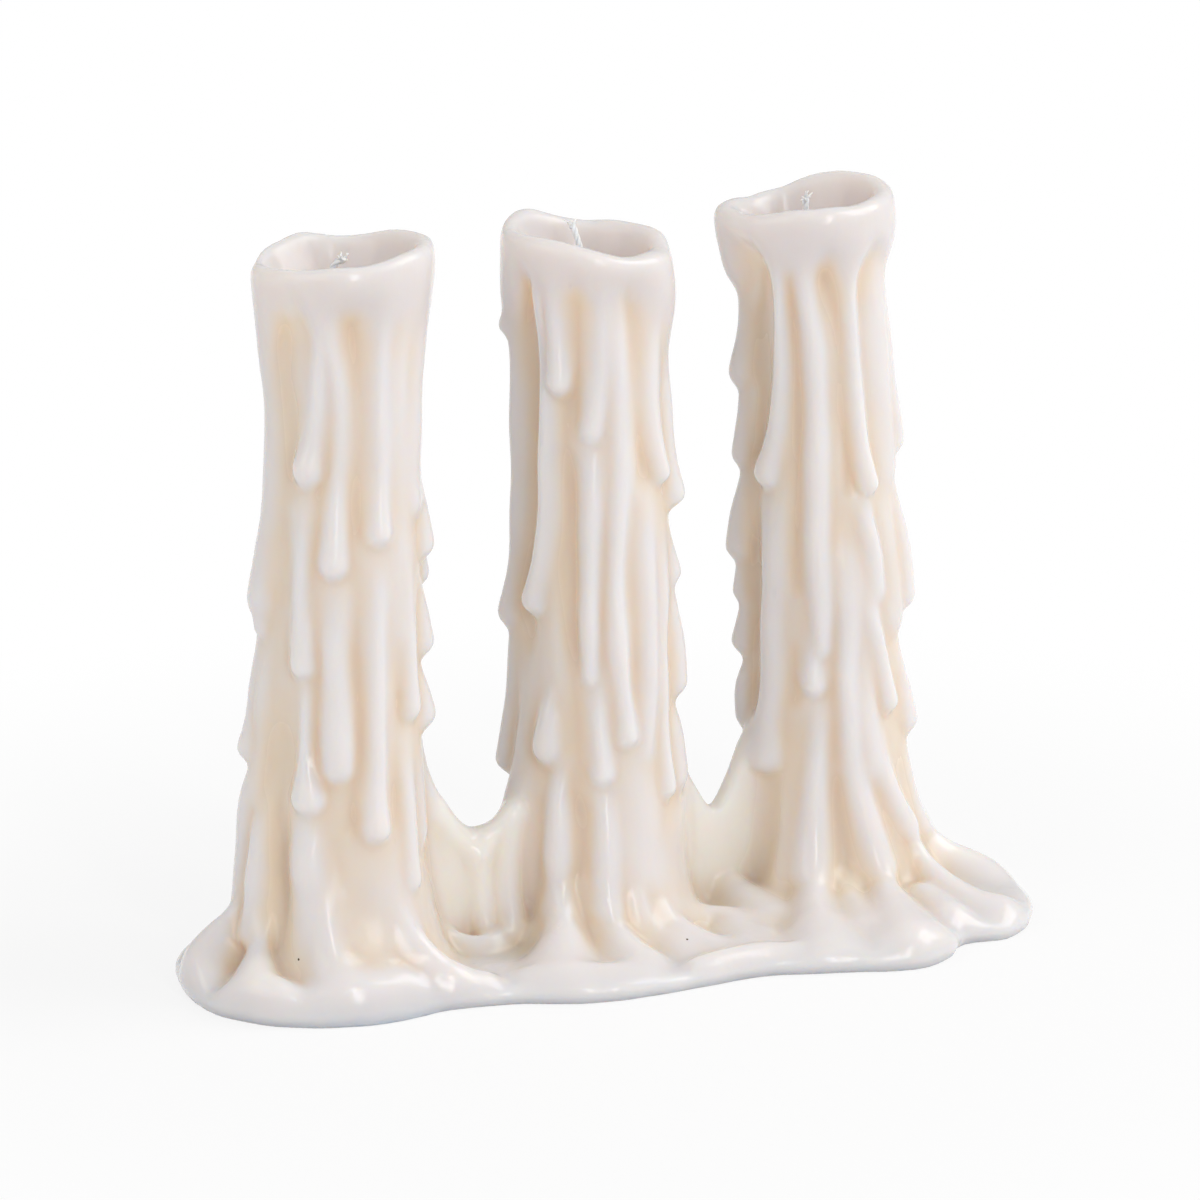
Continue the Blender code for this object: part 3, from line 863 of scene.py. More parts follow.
@dataclass(frozen=True)
class SurfaceNet:
    """Draws a net of four-sided faces where a field changes sign."""

    wax: WaxField

    def build(self) -> tuple[Array, Array]:
        """Work out the net.

        Each cell of the grid whose corners differ in sign gets one vertex, at the mean of
        the places where its twelve edges cross nought. Each grid edge that crosses nought
        gets a face between the four cells round it, turned by which end is inside.

        Returns:
            The vertices, in the field's unit, and the faces, four vertices each.
        """
        values = self.wax.values
        solid = values < 0
        count = np.array(values.shape) - 1
        corners = np.array(list(np.ndindex(2, 2, 2)))
        total = np.zeros(count, np.int8)
        for corner in corners:
            total += solid[tuple(slice(c, c + n) for c, n in zip(corner, count))]
        cells = np.argwhere((total > 0) & (total < 8))
        number = np.full(count, -1, np.int32)
        number[tuple(cells.T)] = np.arange(len(cells))
        at_corner = [values[tuple((cells + corner).T)].astype(float) for corner in corners]
        place = np.zeros((len(cells), 3))
        crossings = np.zeros(len(cells))
        pairs = [(i, j) for i in range(8) for j in range(i)]
        edges = [(i, j) for i, j in pairs if np.abs(corners[i] - corners[j]).sum() == 1]
        for i, j in edges:
            first, second = at_corner[i], at_corner[j]
            crosses = (first < 0) != (second < 0)
            share = np.where(crosses, first / np.where(crosses, first - second, 1), 0)[:, None]
            place += crosses[:, None] * (corners[i] + share * (corners[j] - corners[i]))
            crossings += crosses
        vertices = self.wax.low + self.wax.step * (cells + place / crossings[:, None])
        return vertices, np.concatenate([self.faces_across(solid, number, axis) for axis in range(3)])

    @staticmethod
    def faces_across(solid: Array, number: Array, axis: int) -> Array:
        """Faces across the grid edges that run along one axis."""
        ahead = np.take(solid, np.arange(1, solid.shape[axis]), axis=axis)
        behind = np.take(solid, np.arange(0, solid.shape[axis] - 1), axis=axis)
        edges = np.argwhere(ahead != behind)
        side, other = [i for i in range(3) if i != axis]
        inner = (edges[:, side] > 0) & (edges[:, other] > 0)
        inner &= (edges[:, side] < solid.shape[side] - 1) & (edges[:, other] < solid.shape[other] - 1)
        edges = edges[inner]
        ring = []
        for a, b in ((0, 0), (1, 0), (1, 1), (0, 1)):
            cell = edges.copy()
            cell[:, side] -= a
            cell[:, other] -= b
            ring.append(number[tuple(cell.T)])
        faces = np.stack(ring, axis=1)
        turned = behind[tuple(edges.T)] == (axis == 1)
        faces[turned] = faces[turned][:, ::-1]
        return faces


# --------------------------------------------------------------------------- meshes


def make_piece(name: str, vertices: Array, faces: Array) -> bpy.types.Object:
    """Put vertices and faces of one size into a mesh, smooth shaded, and show it.

    Args:
        name: Name of the piece.
        vertices: Places in metres, one row each.
        faces: Vertices of each face, one row each.

    Returns:
        The piece, with its object at the origin.
    """
    mesh = bpy.data.meshes.new(name)
    mesh.from_pydata(vertices, (), faces.tolist())
    mesh.shade_smooth()
    mesh.update()
    piece = bpy.data.objects.new(name, mesh)
    bpy.context.scene.collection.objects.link(piece)
    return piece


def read_places(mesh: bpy.types.Mesh) -> Array:
    """Read a mesh's vertices, one row each."""
    places = np.empty(3 * len(mesh.vertices))
    mesh.vertices.foreach_get("co", places)
    return places.reshape(-1, 3)


def write_values(mesh: bpy.types.Mesh, name: str, values: Array) -> None:
    """Store one number for each vertex under a name that a material can read."""
    layer = mesh.attributes.new(name, "FLOAT", "POINT")
    layer.data.foreach_set("value", values.astype(np.float32))


def count_triangles(piece: bpy.types.Object) -> int:
    """Count a piece's triangles."""
    return sum(len(face.vertices) - 2 for face in piece.data.polygons)


# --------------------------------------------------------------------------- finishes

Colour = tuple[float, float, float, float]
Settings = dict[str, object]
Inputs = dict[int | str, object]
EVEN = (1, 1, 1)
DRAWN_OUT = (1, 1, 0.45)


class Wire:
    """A shader value that can be added, multiplied and so on like a number."""

    def __init__(self, recipe: Recipe, socket: bpy.types.NodeSocket) -> None:
        """Keep the socket and the recipe that it belongs to."""
        self.recipe = recipe
        self.socket = socket

    def math(self, operation: str, *values: Wire | float) -> Wire:
        """Feed values to a Math node."""
        node = self.recipe.node("ShaderNodeMath", {"operation": operation}, dict(enumerate(values)))
        return Wire(self.recipe, node.outputs[0])

    def __add__(self, other: Wire | float) -> Wire:
        """Sum."""
        return self.math("ADD", self, other)

    def __sub__(self, other: Wire | float) -> Wire:
        """Difference."""
        return self.math("SUBTRACT", self, other)

    def __rsub__(self, other: Wire | float) -> Wire:
        """Difference from a number."""
        return self.math("SUBTRACT", other, self)

    def __mul__(self, other: Wire | float) -> Wire:
        """Product."""
        return self.math("MULTIPLY", self, other)

    def __lt__(self, other: Wire | float) -> Wire:
        """One where this is less, else nought."""
        return self.math("LESS_THAN", self, other)

    def between(self, low: float, high: float) -> Wire:
        """Ease from nought at low to one at high."""
        inputs = {"Value": self, "From Min": low, "From Max": high}
        settings = {"interpolation_type": "SMOOTHSTEP"}
        return Wire(self.recipe, self.recipe.node("ShaderNodeMapRange", settings, inputs).outputs[0])

    __radd__ = __add__
    __rmul__ = __mul__


class Recipe:
    """A material's nodes, made one by one."""

    def __init__(self, name: str) -> None:
        """Start an empty material."""
        self.material = bpy.data.materials.new(name)
        self.material.use_nodes = True
        self.tree = self.material.node_tree
        self.tree.nodes.clear()

    def node(self, kind: str, settings: Settings, inputs: Inputs) -> bpy.types.Node:
        """Make a node.

        Args:
            kind: The node's type.
            settings: Its own settings, set before its sockets.
            inputs: A value, a Wire or a socket for each input, by its name or number.

        Returns:
            The node.
        """
        node = self.tree.nodes.new(kind)
        for name, value in settings.items():
            setattr(node, name, value)
        for key, value in inputs.items():
            source = value.socket if isinstance(value, Wire) else value
            if isinstance(source, bpy.types.NodeSocket):
                self.tree.links.new(source, node.inputs[key])
            else:
                node.inputs[key].default_value = source
        return node

    def wire(self, kind: str, settings: Settings, inputs: Inputs, output: str) -> Wire:
        """Make a node and take one of its outputs."""
        return Wire(self, self.node(kind, settings, inputs).outputs[output])

    def object_place(self, stretch: tuple[float, float, float]) -> Wire:
        """Places on the object in metres, stretched along each axis."""
        place = self.wire("ShaderNodeTexCoord", {}, {}, "Object")
        return self.wire("ShaderNodeMapping", {}, {"Vector": place, "Scale": stretch}, "Vector")

    def noise(self, place: Wire, size: float, detail: float) -> Wire:
        """Soft noise from 0 to 1, with blotches of a size in metres."""
        inputs = {"Vector": place, "Scale": 1.0 / size, "Detail": detail}
        return self.wire("ShaderNodeTexNoise", {}, inputs, "Fac")

    def stored(self, name: str) -> Wire:
        """Read a number stored on the mesh."""
        return self.wire("ShaderNodeAttribute", {"attribute_name": name}, {}, "Fac")

    def mix(self, share: Wire, first: object, second: object) -> Wire:
        """Mix two colours."""
        node = self.node("ShaderNodeMix", {"data_type": "RGBA"}, {0: share, 6: first, 7: second})
        return Wire(self, node.outputs[2])

    def bump(self, height: Wire, depth: float, strength: float = 1.0) -> Wire:
        """Raise the surface by a height, in metres at one."""
        inputs = {"Height": height, "Distance": depth, "Strength": strength}
        return self.wire("ShaderNodeBump", {}, inputs, "Normal")

    def finish(self, shader: bpy.types.Node) -> bpy.types.Material:
        """Show a shader on the surface."""
        self.node("ShaderNodeOutputMaterial", {}, {"Surface": shader.outputs[0]})
        return self.material


class Glow(Enum):
    """How light spreads under a surface: the reach of red, green and blue in metres."""

    WAX = (0.0105, 0.0076, 0.0052)
    COTTON = (0.0010, 0.0008, 0.0006)


@dataclass(frozen=True)
class WaxFinish:
    """Ivory paraffin wax, pale on its ridges, with a few specks of soot. Shade and light are painted on it:
    warm shade in its hollows, paler light through its webs, and darker shade on its collars and the puddle's
    border.

    Attributes:
        ridge: Colour of the ridges.
        hollow: Painted shade: the warmer, darker colour painted deep among the wax, where shade falls and
            light scattered in the wax warms it.
        thin: Painted light: the paler colour painted on the thin webs, standing in for light that comes
            through them.
        painted_dim_colour: Painted shade: the darker colour painted on the collars and the puddle's border,
            where they would else catch too much light from the sky and the floor.
        speck: Colour of the soot.
        open_share: Share of wax round a ridge, at which the painted shade starts.
        deep_share: Share of wax round a hollow, at which the painted shade is full.
        roughness: Roughness of the ridges.
        uneven_gloss: How much the roughness changes into the hollows and over the clouds.
        cloud_size: Size of the soft clouds of colour, in metres.
        cloud_share: How far the clouds shift where the painted shade falls.
        backlight_share: Most of the painted light on the webs that shows.
        ripple_size: Size of the fine ripples, in metres.
        grain_size: Size of the grain, in metres.
        grain_share: Height of the grain as a share of the ripples'.
        bump_depth: Height of the ripples, in metres.
        ior: Index of refraction.
        speck_spacing: Spacing of the specks, in metres.
        speck_radius: Radius of a speck, in metres.
    """

    ridge: Colour = (0.722, 0.693, 0.695, 1.0)
    hollow: Colour = (0.775, 0.660, 0.525, 1.0)
    speck: Colour = (0.120, 0.080, 0.050, 1.0)
    thin: Colour = (0.885, 0.836, 0.782, 1.0)
    painted_dim_colour: Colour = (0.676, 0.650, 0.655, 1.0)
    open_share: float = 0.42
    deep_share: float = 0.70
    roughness: float = 0.175
    uneven_gloss: float = 0.10
    cloud_size: float = 0.022
    cloud_share: float = 0.06
    backlight_share: float = 0.8
    ripple_size: float = 0.0032
    grain_size: float = 0.0006
    grain_share: float = 0.10
    bump_depth: float = 0.00010
    ior: float = 1.44
    speck_spacing: float = 0.021
    speck_radius: float = 0.00028

    def specks(self, recipe: Recipe) -> Wire:
        """One on a few round specks, nought elsewhere: near the middle of some of a Voronoi's cells."""
        settings = {"voronoi_dimensions": "3D", "feature": "F1"}
        place = recipe.object_place(EVEN)
        inputs = {"Vector": place, "Scale": 1 / self.speck_spacing, "Randomness": 1.0}
        near = recipe.wire("ShaderNodeTexVoronoi", settings, inputs, "Distance")
        return near < self.speck_radius / self.speck_spacing

    def make(self) -> bpy.types.Material:
        """Make the material."""
        recipe = Recipe("ivory_wax")
        place = recipe.object_place(DRAWN_OUT)
        cloud = recipe.noise(place, self.cloud_size, 2.0)
        # Painted shade: the hollow colour is painted where the wax is sheltered, standing in for shade and
        # for light warmed by scattering in the wax.
        depth = recipe.stored(PAINTED_SHADE) + self.cloud_share * (cloud - 0.5)
        painted_shade_mask = depth.between(self.open_share, self.deep_share)
        # Painted shade: the collars and the puddle's low border are painted darker, to dim the light they
        # catch from the sky and the floor.
        colour = recipe.mix(recipe.stored(PAINTED_DIMMING), self.ridge, self.painted_dim_colour)
        colour = recipe.mix(painted_shade_mask, colour, self.hollow)
        # Painted light: the thin webs are painted paler, standing in for light that comes through them.
        colour = recipe.mix(self.backlight_share * recipe.stored(PAINTED_BACKLIGHT), colour, self.thin)
        dirt = self.specks(recipe)
        colour = recipe.mix(dirt, colour, self.speck)
        ripple = recipe.noise(place, self.ripple_size, 1.0)
        grain = recipe.noise(recipe.object_place(EVEN), self.grain_size, 2.0)
        normal = recipe.bump(ripple + self.grain_share * grain, self.bump_depth)
        inputs = {
            "Base Color": colour,
            "Roughness": self.roughness + self.uneven_gloss * painted_shade_mask + self.uneven_gloss * (cloud - 0.5),
            "Normal": normal,
            "IOR": self.ior,
            "Subsurface Weight": 1.0,
            "Subsurface Radius": tuple(reach / max(Glow.WAX.value) for reach in Glow.WAX.value),
            "Subsurface Scale": max(Glow.WAX.value),
        }
        return recipe.finish(recipe.node("ShaderNodeBsdfPrincipled", {}, inputs))


@dataclass(frozen=True)
class WickFinish:
    """Cotton wick soaked in wax: off-white, darker between its strands, matte."""

    thread: Colour = (0.95, 0.93, 0.90, 1.0)
    groove: Colour = (0.94, 0.91, 0.87, 1.0)
    roughness: float = 0.45

    def make(self) -> bpy.types.Material:
        """Make the material."""
        recipe = Recipe("waxed_cotton")
        fibre = recipe.noise(recipe.object_place((1, 1, 0.18)), 0.00022, 2.0)
        colour = recipe.mix(fibre.between(0.35, 0.75), self.groove, self.thread)
        inputs = {
            "Base Color": colour,
            "Roughness": self.roughness + 0.2 * (fibre - 0.5),
            "Normal": recipe.bump(fibre, 0.00012),
            "Subsurface Weight": 0.6,
            "Subsurface Radius": tuple(reach / max(Glow.COTTON.value) for reach in Glow.COTTON.value),
            "Subsurface Scale": max(Glow.COTTON.value),
        }
        return recipe.finish(recipe.node("ShaderNodeBsdfPrincipled", {}, inputs))


# --------------------------------------------------------------------------- the candle

# Numbers stored on the wax that say where shade and light are painted: shade in the hollows, light through
# the webs, and shade that dims the collars and the puddle's border.
PAINTED_SHADE = "enclosure"
PAINTED_BACKLIGHT = "painted_backlight"
PAINTED_DIMMING = "painted_dimming"
HIGH_EDGE = 146.0
NEAR_RIM = 157.0


@dataclass(frozen=True)
class Tier:
    """One tier of runs round a pillar's back.

    Attributes:
        top: Height where its runs start.
        lift: How far those heights differ.
        emerge: How far the runs stand out at their start.
        tip: Height of their tips.
        spread: How far those heights differ.
        half: Half the width of a tip.
        turn: How far the tier is turned from the one above it, in degrees.
    """

    top: float
    lift: float
    emerge: float
    tip: float
    spread: float
    half: float
    turn: float


@dataclass(frozen=True)
class BackRuns:
    """Runs round the back of a pillar, in tiers that overlap like the front ones.

    Attributes:
        first: Number of runs made on the pillars before this one.
    """

    first: int
    angles: tuple[int, ...] = tuple(range(84, 222, 21))
    tiers: tuple[Tier, ...] = (
        Tier(151, 0, 2.4, 108, 44, 2.8, 0),
        Tier(98, 26, 0.4, 62, 30, 3.0, 10),
        Tier(62, 20, 0.4, 28, 20, 3.4, 3),
    )
    drift: float = 12.0
    collar_dip: float = 136.0
    collar_crown: float = 146.0
    golden: float = 0.618034
    silver: float = 0.414214

    def collar(self) -> Iterable[tuple[float, float, float]]:
        """Where the collar starts and where it is full: low over each run, high between them."""
        for angle in self.angles:
            yield angle, self.collar_dip, NEAR_RIM
            yield angle + 10.0, self.collar_crown, NEAR_RIM

    def runs(self) -> Iterable[Fold]:
        """Lay the runs out.

        Tips and drift step by the golden ratio and starts by the silver one, so that none
        looks like the next.
        """
        count = self.first
        for tier in self.tiers:
            for angle in self.angles:
                step = (self.golden * count) % 1 - 0.5
                top = tier.top + tier.lift * ((self.silver * count) % 1 - 0.5)
                count += 1
                start, end = angle + tier.turn, angle + tier.turn + self.drift * step
                low = tier.tip + tier.spread * step
                yield Fold((
                    (start, top, 1.1 * tier.half, 1.1 * tier.half, tier.emerge),
                    (start, (top + low) / 2, 0.65 * tier.half, 0.65 * tier.half, 2.6),
                    (end, low + 4 * tier.half, 0.75 * tier.half, 0.75 * tier.half, 2.8),
                    (end, low + tier.half, tier.half, tier.half, 3.6),
                ))


def collar_line(*edges: tuple[float, float]) -> Iterable[tuple[float, float, float]]:
    """Where the collar starts and where it is full, from its lower edge.

    Where the edge is high, it starts a little below the edge and is soon full. Over a run
    the edge is low, and it starts lower still and is full only near the rim.

    Args:
        edges: Angles, and heights of the lower edge.

    Yields:
        An angle and the two heights.
    """
    for angle, edge in edges:
        if edge >= HIGH_EDGE:
            yield angle, edge - 3, edge + 8
        else:
            yield angle, edge - 6, NEAR_RIM


# Runs and hollows on a pillar: angle, height, width to the left and right, how far they stand out.
LEFT_COLLAR = (
    (-118, 120, 158), (-100, 130, 158), (-88, 142, 156), (-78, 146, 156),
    *collar_line((-66, 149), (-58, 150), (-50, 146), (-41, 142), (-33, 146), (-22, 149), (-10, 148),
                 (0, 145), (6, 141), (15, 143)),
    (30, 138, 158), (45, 128, 158), (62, 118, 158),
)
LEFT_HOLLOWS = (
    Fold(((-77, 147, 4, 4, -0.5), (-77, 136, 6, 5, -1.4), (-76, 120, 6, 5.4, -1.5),
          (-76, 104, 5, 4.4, -1.2), (-76, 88, 4, 3.6, -0.6)), 1.5, 1.5),
    Fold(((-29, 142, 1, 1, -0.2), (-33, 122, 1.5, 1.5, -0.7), (-42, 106, 1.8, 1.6, -0.8),
          (-45, 94, 1.6, 1.6, -0.4)), 1.5, 1.5),
    Fold(((-18, 147, 3, 3, -0.5), (-17, 136, 4.2, 3.4, -1.3), (-15, 118, 3.8, 3, -1.4),
          (-14, 102, 2.8, 2.4, -0.8)), 1.5, 1.5),
    Fold(((-39, 88, 1.2, 1.2, -0.3), (-40, 74, 1.6, 1.6, -0.8), (-41, 54, 1.8, 1.8, -0.8)), 1.5, 1.5),
    Fold(((-13, 92, 1.8, 1.8, -0.3), (-13, 76, 2.2, 2.2, -0.7), (-10, 58, 1.9, 1.9, -0.6),
          (-15, 38, 3, 3, -0.8)), 1.5, 1.5),
    Fold(((-72, 68, 3.2, 3.4, -0.4), (-72, 50, 4.4, 4, -1.5), (-72, 32, 4.8, 4.6, -2.4),
          (-71, 19, 5, 5, -4), (-70, 12, 5, 4.8, -6), (-68, 8, 4.6, 4.4, -7.2)), 1.5, 1.2),
    Fold(((25, 68, 2, 2, -0.4), (26, 60, 2, 2, -0.8)), 1.5, 1.5),
)
LEFT_RUNS = (
    Fold(((-112, 51, 3.6, 3.6, 2.2), (-114, 42, 4.2, 4.2, 5), (-115, 30, 4.8, 4.8, 5.2),
          (-116, 20, 5, 5, 4.6), (-116, 10, 5, 5, 3.4)), 1.8, 1.4),
    Fold(((-41, 151, 3.4, 3.4, 3.6), (-41, 145, 2.2, 2.2, 3.1), (-42, 138, 1.6, 1.5, 2.9),
          (-43.5, 130, 1.8, 1.9, 2.9), (-48, 121, 2.5, 2.4, 3.2),
          (-53, 114.5, 3.45, 3.4, 4))).slumped().drawn_up(1.6, 1.5, 1.18),
    Fold(((-36, 150, 3.2, 3.2, 2.7), (-33.5, 143, 2.1, 2.4, 2), (-28, 135, 1.9, 2.1, 1.5),
          (-25, 127, 2.1, 2.2, 1.2), (-25, 119, 2.2, 2.2, 1.2), (-28, 110, 2.3, 2.3, 1.6),
          (-29.5, 101, 2.8, 2.8, 2.4), (-30, 94, 3.5, 3.5, 3.3))).drawn_up(2.4),
    Fold(((6, 150, 3.5, 5, 3.4), (6, 143, 1.6, 3, 3.1), (6, 130, 1.5, 3, 3), (6.5, 115, 1.7, 2.6, 3.1),
          (5.5, 107, 2.1, 2.5, 3.4), (5, 101.5, 2.6, 2.6, 3.9))).slumped().drawn_up(1.2, 0, 1.1),
    Fold(((27, 150, 7, 8, 1.9), (27, 130, 7.5, 8, 1.7), (28, 112, 7.5, 8, 1.5), (27, 96, 6, 6, 1.3),
          (25, 80, 5, 5, 1.2)), 1.8, 1.8),
    Fold(((56, 150, 6, 6.4, 3), (55, 130, 6, 6.4, 2.9), (49, 115, 5.4, 5.6, 2.3),
          (45, 107.5, 4, 5, 2.6)), 1.6, 0.8),
    Fold(((64, 120, 4.2, 4.2, 0.3), (64, 106, 4.2, 4.2, 2.7), (64, 96.5, 4, 4, 4.2))),
    Fold(((34, 100, 3, 3, 0.3), (34, 86, 2.6, 2.6, 2.6), (36, 72, 2.1, 2.4, 2.9),
          (37, 62.8, 2.6, 2.6, 3.6))).slumped(),
    Fold(((60, 90, 3.8, 4.2, 0.3), (62, 83, 4, 4, 2.8), (63, 75.5, 4, 4, 4.4))),
    Fold(((60, 71, 3.6, 3.6, 0.3), (62, 65, 4, 4, 3), (63, 60, 4.2, 4.2, 4.4))),
    Fold(((-108, 150, 3.6, 3.6, 2.7), (-112, 139, 3.8, 3.8, 2.6), (-113, 125, 3.8, 3.8, 1.3),
          (-112, 112, 4.2, 4.2, 0.8), (-109, 98, 5.4, 5.4, 1.6), (-106, 85.5, 6.2, 6.4, 4.4)), 1.4, 0.8),
    Fold(((-101, 92, 2.6, 2.6, 0.3), (-100, 86, 2.6, 2.6, 3.2), (-99, 80.5, 3, 3, 3.8))).slumped(),
    Fold(((-54, 108, 1.4, 1.4, 0.3), (-54, 96, 1.5, 1.4, 2.5), (-54, 87, 1.8, 1.8, 2.9),
          (-53, 80, 2.5, 2.5, 3.4), (-52, 74.5, 3, 3, 3.9))).slumped(),
    Fold(((-30, 91, 2.4, 2.4, 0.3), (-30, 78, 2.4, 2.4, 2.8), (-28, 68, 3, 3.2, 3.1),
          (-27, 58, 3.7, 3.7, 3.7), (-27, 53, 3.4, 3.4, 3.4)), 1.1, 0.85).slumped(),
    Fold(((5, 98, 2, 2.5, 0.3), (3, 85, 1.6, 2.4, 2.8), (2, 66, 1.6, 2.4, 3), (2, 52, 2, 2.4, 3.1),
          (1, 45, 2.8, 2.8, 3.5), (1, 39, 3.2, 3.2, 3.9))).slumped(),
    Fold(((-50.5, 72, 1.2, 1.2, 0.3), (-50.5, 62, 1, 1, 2.7), (-50, 55, 1.3, 1.4, 3.1),
          (-48.5, 49.5, 2.6, 2.8, 3.9), (-48, 46.3, 3.9, 3.9, 4.7)), 1.0, 0.5).slumped(),
    Fold(((-49, 46, 3, 3.8, 0.3), (-49, 38, 3.2, 4, 2.2), (-49, 31.5, 4.1, 4.4, 3.5),
          (-46, 26, 3.2, 4.2, 2.2), (-42, 21, 3.6, 4.6, 2.2), (-38, 15, 4, 5.2, 1.8),
          (-34, 9, 4.4, 5.6, 1.4)), 1.6, 1.6),
    Fold(((-104, 86, 3.2, 3.4, 1), (-109, 72, 3.6, 3.4, 2.4), (-113, 62, 4, 3.6, 3.4),
          (-116, 52, 4.2, 4, 5.9))),
    Fold(((-92, 80, 2.2, 2.5, 0.3), (-97, 66, 2.5, 2.5, 2.8), (-103, 52, 2.8, 2.6, 3.1),
          (-105, 42, 3.2, 3, 3.6)), 1.1, 0.9).slumped(),
    Fold(((-97, 46, 2.6, 2.4, 0.3), (-94, 36, 3, 2.8, 3), (-93, 27, 3.8, 3.4, 4.4),
          (-92, 22, 3.3, 3.3, 3.6), (-91, 14, 3.8, 3.8, 3.4)), 1.2, 1.0),
    Fold(((14, 34, 3, 3, 0.3), (17, 24, 4, 4, 1), (20, 14, 4.5, 4.5, 1.8)), 2.0, 1.8),
    Fold(((31, 60, 2.4, 3, 0.3), (30, 44, 1.8, 2.6, 2.6), (30, 32, 1.8, 2.4, 2.8),
          (30, 26, 2, 2.2, 3.2)), 1.0, 0.9).slumped(),
    Fold(((52, 58, 3.2, 4.2, 0.3), (53, 46, 3.2, 4.2, 1.5), (54, 34, 3.4, 4.2, 1.5)), 1.4, 1.4),
)
MIDDLE_COLLAR = (
    (-118, 116, 146), (-100, 130, 152),
    *collar_line((-88, 148), (-78, 150), (-69, 147), (-64, 147), (-54, 143), (-47, 147), (-39, 149),
                 (-30, 147), (-18, 142), (-10, 144), (0, 147), (10, 145), (20, 139)),
    (33, 128, 155), (50, 120, 150), (75, 118, 150),
)
MIDDLE_HOLLOWS = (
    Fold(((-81, 149, 3.4, 3, -0.5), (-81, 136, 4.6, 4, -1.5), (-81, 118, 4.4, 4, -1.8),
          (-83, 100, 4.2, 3.6, -1.8), (-86, 84, 3.8, 3.4, -1.6), (-88, 70, 3.6, 3.4, -1)), 1.5, 1.5),
    Fold(((-63, 147, 1, 0.9, -0.3), (-63.5, 139, 1.1, 1, -0.9), (-62, 130, 1.2, 1.2, -0.7)), 1.5, 1.5),
    Fold(((-41, 148, 2.4, 2.4, -0.4), (-42, 135, 3.4, 3, -1), (-44, 118, 4.4, 3.2, -1.7),
          (-44, 95, 4.4, 3.2, -2), (-43, 74, 3.8, 3, -1.7), (-39, 62, 2.8, 2.6, -1.1),
          (-36, 50, 2.6, 2.6, -1.2), (-37, 36, 3.4, 3.2, -1.8), (-37, 22, 3.4, 3.2, -2.4)), 1.5, 1.5),
    Fold(((3, 145, 2.6, 3.2, -0.3), (9, 134, 3, 3, -0.6), (15, 120, 2.6, 2.6, -0.6),
          (17, 106, 3, 2.8, -0.9)), 1.5, 1.5),
    Fold(((-16, 108, 1.6, 1.6, -0.3), (-20, 94, 1.6, 1.6, -0.7), (-21, 74, 1.5, 1.5, -0.7)), 1.5, 1.5),
    Fold(((18, 44, 2.4, 2.4, -0.4), (19, 35, 3.2, 3, -1)), 1.5, 1.5),
    Fold(((68, 163, 9, 9, -2.8), (68, 156, 9, 9, -1.8), (68, 150, 8, 8, -0.3)), 2.0, 2.0),
    Fold(((-72, 36, 2.4, 2.4, -0.8), (-72, 22, 3, 3, -1.8), (-72, 10, 3, 3, -3.4)), 1.5, 1.5),
)
